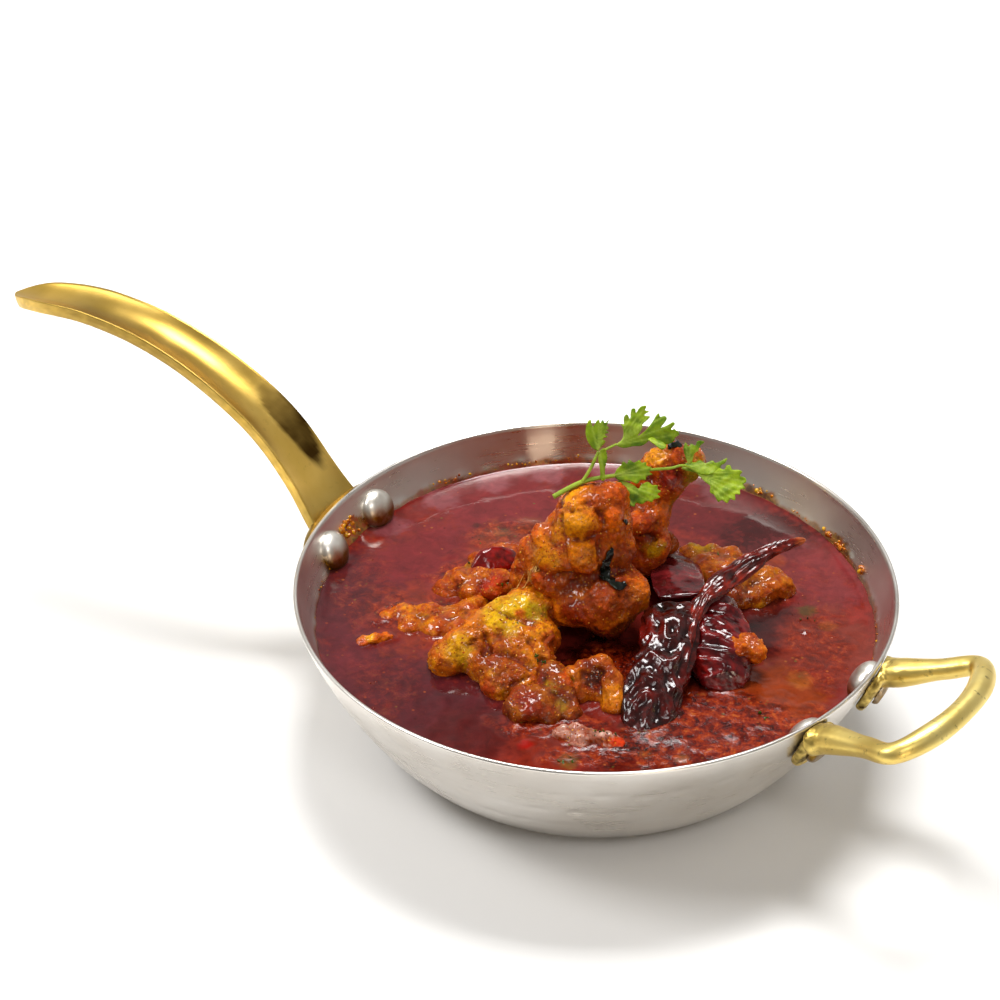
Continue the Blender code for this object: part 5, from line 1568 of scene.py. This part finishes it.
def scatter(name, mesh, onFaces, bit, material, slot, **values):
    obj = addPiece(name, mesh, None)
    tree = faceScatter if onFaces else pointScatter
    modifier = obj.modifiers.new("scatter", "NODES")
    modifier.node_group = tree
    values.update(Bit=bit, Material=material)
    for item in tree.interface.items_tree:
        if item.in_out == "INPUT" and item.name in values:
            modifier[item.identifier] = values[item.name]
    bakeModifiers(obj)
    obj.data.name = name
    bpy.data.objects.remove(bit)
    finishPiece(obj, slot)
    print("  ", name, len(obj.data.polygons), "faces")


def joinedCopy(meshes, spreadOf):
    # one mesh of them all, with a "spread" value for each point
    joined = bpy.data.meshes.new("surface")
    joinMeshes(meshes, joined)
    for name in ("tint", "thick"):
        if name in joined.attributes:
            joined.attributes.remove(joined.attributes[name])
    points, normals = meshArrays(joined)
    storeValues(joined, "spread", [spreadOf(Vector(p), Vector(n))
                                   for p, n in zip(points, normals)])
    joined.materials.clear()
    return joined


def pointMesh(name, points, sizes):
    mesh = meshFrom(name, points, [])
    storeValues(mesh, "size", sizes)
    return mesh


faceScatter = makeScatterTree("scatterOnFaces", True)
pointScatter = makeScatterTree("scatterOnPoints", False)


def openGravy(point, normal):
    # more flakes where the gravy is thick; none under a piece of food
    if normal.z < 0.7 or abs(point.z - gravyLevel) > 2.5 * mm:
        return 0.0
    if foodTree.ray_cast(point + Vector((0, 0, 0.2 * mm)), Vector((0, 0, 1)), 60 * mm)[0]:
        return 0.0
    place = plated(np.array([point]))[0]
    share = 0.008            # a few even where it is thin
    for x, y, halfLength, halfWidth, strength in gravyShape["thick"]:
        away = math.hypot((place[0] - x) / halfLength, (place[1] - y) / halfWidth)
        share = max(share, strength * min(max(1.25 - away, 0), 1))
    return share


def openMeat(point, normal):
    # only faces in the open air: above the gravy, and not inside or against another piece
    if point.z < gravyLevel + 1.2 * mm or normal.z < -0.3:
        return 0.0
    if foodTree.ray_cast(point + normal * 0.25 * mm, normal, 9 * mm)[0]:
        return 0.0
    return max(0.15, 0.5 + 1.4 * wobble(point, 6 * mm, 2, 71))


scatter("chilliFlakes", joinedCopy([gravy.data], openGravy), True,
        makeBit("flake", (1, 0.62, 0.22), False, 1),
        makeBitMaterial("oiledChilliFlakes", ("#380805", "#781c08", "#9c4016"), 0.18),
        "dried_chilli", Density=36000.0, Smallest=0.22, Largest=0.6, Seed=4)
meatMeshes = [mesh for mesh, node in zip(foodMeshes, foodPieces) if node != "masala_bit"]
scatter("spiceGrains", joinedCopy(meatMeshes, openMeat), True,
        makeBit("grain", (1, 0.75, 0.5), False, 2),
        makeBitMaterial("groundSpice", ("#8c2c06", "#b84a0a", "#dc9c38"), 0.2),
        "masala", Density=420000.0, Smallest=0.12, Largest=0.42, Seed=6)

# Beads of gravy dried on the wall above its level: azimuth, spread in degrees, lowest and
# highest z in mm, how many, mean radius in mm
wallBeads = ((180, 3.2, 37.2, 42.6, 18, 1.0), (186, 3, 36.4, 38, 8, 0.4),
             (150, 7, 36.5, 37.8, 12, 0.42), (134, 4, 36.4, 37.4, 9, 0.4),
             (121, 5, 36.4, 38.4, 10, 0.34), (76.5, 2.4, 36.6, 38.4, 10, 0.62),
             (66, 4, 36.4, 37.2, 8, 0.36), (56, 1.6, 36.6, 38.2, 7, 0.72),
             (50, 2.2, 36.4, 38, 11, 0.66), (40.2, 0.5, 37.6, 38.4, 2, 1.3),
             (20, 10, 36.3, 37, 9, 0.3), (-160, 16, 36.3, 37, 9, 0.3))
draw = random.Random(21)
beadSpots, beadSizes = [], []
for azimuth, spread, low, high, count, radius in wallBeads:
    for _ in range(count):
        turn = math.radians(azimuth + draw.gauss(0, 0.5) * spread)
        z = draw.uniform(low, high) * mm
        reach = innerRadius(z) - 0.12 * mm
        beadSpots.append((reach * math.cos(turn), reach * math.sin(turn), z))
        beadSizes.append(radius * draw.uniform(0.45, 1.5))
scatter("wallBeads", pointMesh("beadSpots", beadSpots, beadSizes), False,
        makeBit("bead", (1, 0.8, 0.7), True, 3),
        makeBitMaterial("driedGravyBeads", ("#7c2c08", "#c8700c", "#d8a820"), 0.12),
        "gravy", Smallest=0.7, Largest=1.1, Seed=8)

# Chopped coriander cooked in the gravy: x, y, z on the plate, how many, radius in mm
herbs = ((-15.2, -34.2, 43, 8, 0.8), (-5.5, -41.5, 40, 5, 0.6), (3, -59.5, 37.6, 6, 0.7),
         (48.2, -47.5, 36.2, 4, 0.8), (-27, 8, 40, 3, 0.7), (-37, 20, 39.5, 4, 0.8),
         (-12, -9, 61, 3, 0.5), (64, -1, 36, 3, 0.7), (-6.3, -68.4, 36, 4, 0.7),
         (-34, 36, 36.4, 3, 0.7), (-22, -24, 48, 3, 0.5), (37, 22, 43, 3, 0.7))
herbSpots, herbSizes = [], []
for x, y, z, count, radius in herbs:
    for _ in range(count):
        aim = platingFrame @ Vector((x + draw.gauss(0, 1.3), y + draw.gauss(0, 1.3), z))
        near = foodTree.find_nearest(aim, 5 * mm)
        spot = near[0] if near[0] and near[0].z > gravyLevel else Vector(
            (aim.x, aim.y, gravyLevel + 0.2 * mm))
        herbSpots.append(spot)
        herbSizes.append(radius * draw.uniform(0.6, 1.4))
scatter("herbBits", pointMesh("herbSpots", herbSpots, herbSizes), False,
        makeBit("herb", (1, 0.5, 0.2), True, 4),
        makeBitMaterial("cookedCoriander", ("#16240c", "#2e4a14", "#4c6a1c"), 0.25),
        "coriander_leaf", Smallest=0.8, Largest=1.2, Seed=9)


def makeStrip(line, halfWidth, halfThick, seed):
    # a flat strip laid over the food along a line of points on the plate
    spots, normals = [], []
    for point in smoothPath(line, 7):
        near, normal, *_ = foodTree.find_nearest(platingFrame @ point, 8 * mm)
        spots.append(near + normal * halfThick * 1.3 * mm)
        normals.append(normal)
    rings = []
    for i, (spot, normal) in enumerate(zip(spots, normals)):
        side = heading(spots, i).cross(normal).normalized()
        taper = math.sqrt(max(1 - (2 * i / (len(spots) - 1) - 1) ** 4, 0.02))
        wide = halfWidth * mm * taper * (1 + 0.5 * wobble(spot, 1.6 * mm, 2, seed))
        rings.append([spot + side * wide * math.cos(a)
                      + normal * halfThick * mm * (math.sin(a) + 0.5 * math.cos(a) ** 2)
                      for a in circle(16)])
    return skinRings(rings)


def makeStrips(name, strips, material, slot):
    mesh = meshFrom(name, *joinParts(makeStrip(*strip, i) for i, strip in enumerate(strips)))
    tidyMesh(mesh)
    finishPiece(addPiece(name, mesh, material), slot)


# Curry leaf fried almost black
makeStrips("curryLeaf", [
    (((4.8, -8, 65), (3.2, -10.1, 61), (3.1, -11.4, 58.5), (3.3, -12.2, 56.5), (6.5, -14, 55.2),
      (9.1, -12, 54.6)), 1.5, 0.4),
    (((7.4, -4.2, 72.5), (8.4, -4.4, 70.8)), 0.7, 0.25),
    (((21, 28.5, 76.5), (23, 29, 77), (24.5, 30, 76)), 1.1, 0.3)],
    makeBitMaterial("friedCurryLeaf", ("#030402", "#080a05", "#141a0a"), 0.16),
    "coriander_leaf")
# Meat fibres pulled out of the thigh
fibreDraw = random.Random(33)
fibres = []
for k in range(16):
    x = -15 - 0.75 * k + fibreDraw.uniform(-1, 1)
    z = 60.5 - 0.55 * k + fibreDraw.uniform(-1, 1)
    end = x - 2 + fibreDraw.uniform(-1, 1)
    fibres.append((((x, -9, z), (x - 1.2, -10, z - 2.5), (end, -10, z - 5.5)), 0.13, 0.1))
makeStrips("meatFibres", fibres,
           makeBitMaterial("pulledFibres", ("#a8641c", "#c88c3c", "#dcae60"), 0.3),
           "spiced_chicken")


print("stage")

camera = {"distance": 650 * mm, "azimuth": viewAzimuth, "elevation": 35.34,
          "yaw": 2.535, "pitch": 1.967, "roll": 1.263, "lens": 78.38}


def lookAt(target, azimuth, elevation, distance):
    # where a camera or light stands, and its turn
    turn = (Matrix.Rotation(math.radians(azimuth), 4, "Z")
            @ Matrix.Rotation(math.radians(90 - elevation), 4, "X"))
    back = turn.to_3x3() @ Vector((0, 0, 1))
    return Matrix.Translation(target + back * distance) @ turn


def makeCamera():
    data = bpy.data.cameras.new("camera")
    data.lens = camera["lens"]
    data.sensor_width = 36
    data.clip_start = 0.01
    obj = linkObject("camera", data)
    aim = (Matrix.Rotation(math.radians(camera["yaw"]), 4, "Y")
           @ Matrix.Rotation(math.radians(camera["pitch"]), 4, "X")
           @ Matrix.Rotation(math.radians(camera["roll"]), 4, "Z"))
    obj.matrix_world = lookAt(Vector((0, 0, panShape["height"])), camera["azimuth"],
                              camera["elevation"], camera["distance"]) @ aim
    scene.camera = obj


def makeLight(name, azimuth, elevation, distance, width, height, power, colour="#ffffff"):
    data = bpy.data.lights.new(name, "AREA")
    data.shape = "RECTANGLE"
    data.size, data.size_y = width, height
    data.energy = power
    data.color = hexColour(colour)[:3]
    obj = linkObject(name, data)
    obj.matrix_world = lookAt(Vector((0, 0, 50 * mm)), azimuth, elevation, distance)


makeCamera()
makeLight("overheadSoftbox", 200, 70, 1.2, 0.46, 0.34, 14)
makeLight("leftSoftbox", -60, 50, 1.3, 0.42, 0.4, 8.5)
makeLight("frontFill", 45, 50, 1.5, 0.35, 0.35, 3)
makeLight("rimLight", 47, 13, 0.9, 0.1, 0.16, 0.8, "#ffe9cc")

# the studio: bright behind and above the pan, darker round the camera
studio = {"front": 0.22, "back": 0.55}


def makeStudio():
    world = bpy.data.worlds.new("studio")
    world.use_nodes = True
    tree = world.node_tree
    background = tree.nodes["Background"]
    place = addNode(tree, "ShaderNodeTexCoord").outputs["Generated"]
    angle = math.radians(camera["azimuth"])
    # 1 towards the camera, which stands 35 degrees up, and -1 away from it
    toCamera = addNode(tree, "ShaderNodeVectorMath", {
        0: place, 1: (math.sin(angle) * 0.82, -math.cos(angle) * 0.82, 0.57)},
        operation="DOT_PRODUCT")
    strength = addNode(tree, "ShaderNodeMapRange", {
        "Value": toCamera, "From Min": -0.3, "From Max": 0.9,
        "To Min": studio["back"], "To Max": studio["front"]}, interpolation_type="SMOOTHSTEP")
    # a dark card behind and to the right, so that the near gravy keeps its depth
    right = addNode(tree, "ShaderNodeVectorMath", {
        0: place, 1: (math.cos(angle), math.sin(angle), 0)}, operation="DOT_PRODUCT")
    aside = addNode(tree, "ShaderNodeMapRange", {
        "Value": right, "From Min": -0.11, "From Max": -0.01, "To Min": 0.0, "To Max": 1.0},
        interpolation_type="SMOOTHSTEP")
    up = addNode(tree, "ShaderNodeSeparateXYZ", {0: place}).outputs["Z"]
    high = addNode(tree, "ShaderNodeMapRange", {
        "Value": up, "From Min": 0.58, "From Max": 0.64, "To Min": 0.0, "To Max": 0.85},
        interpolation_type="SMOOTHSTEP")
    card = addNode(tree, "ShaderNodeMath", {0: aside, 1: high}, operation="MULTIPLY")
    facing = addNode(tree, "ShaderNodeMath", {0: toCamera, 1: 0.1}, operation="LESS_THAN")
    shade = addNode(tree, "ShaderNodeMath", {0: card, 1: facing}, operation="MULTIPLY")
    left = addNode(tree, "ShaderNodeMath", {0: 1.0, 1: shade}, operation="SUBTRACT")
    addNode(tree, "ShaderNodeMath", {0: strength, 1: left}, operation="MULTIPLY",
            to=background.inputs["Strength"])
    background.inputs["Color"].default_value = hexColour("#f6f4f1")
    scene.world = world
    scene.view_settings.view_transform = "Standard"


makeStudio()

floorHalf, floorDrop = 6, 0.2 * mm     # half its side, and how far under the pan it lies
floorMesh = meshFrom("floor", [(x * floorHalf, y * floorHalf, -floorDrop) for x, y in
                               ((-1, -1), (1, -1), (1, 1), (-1, 1))], [(0, 1, 2, 3)])
floorMaterial, _, floorShader, _ = startMaterial("paleFloor", Roughness=0.7)
floorShader.inputs["Base Color"].default_value = hexColour("#f1f0ee")
floor = addPiece("floor", floorMesh, floorMaterial)
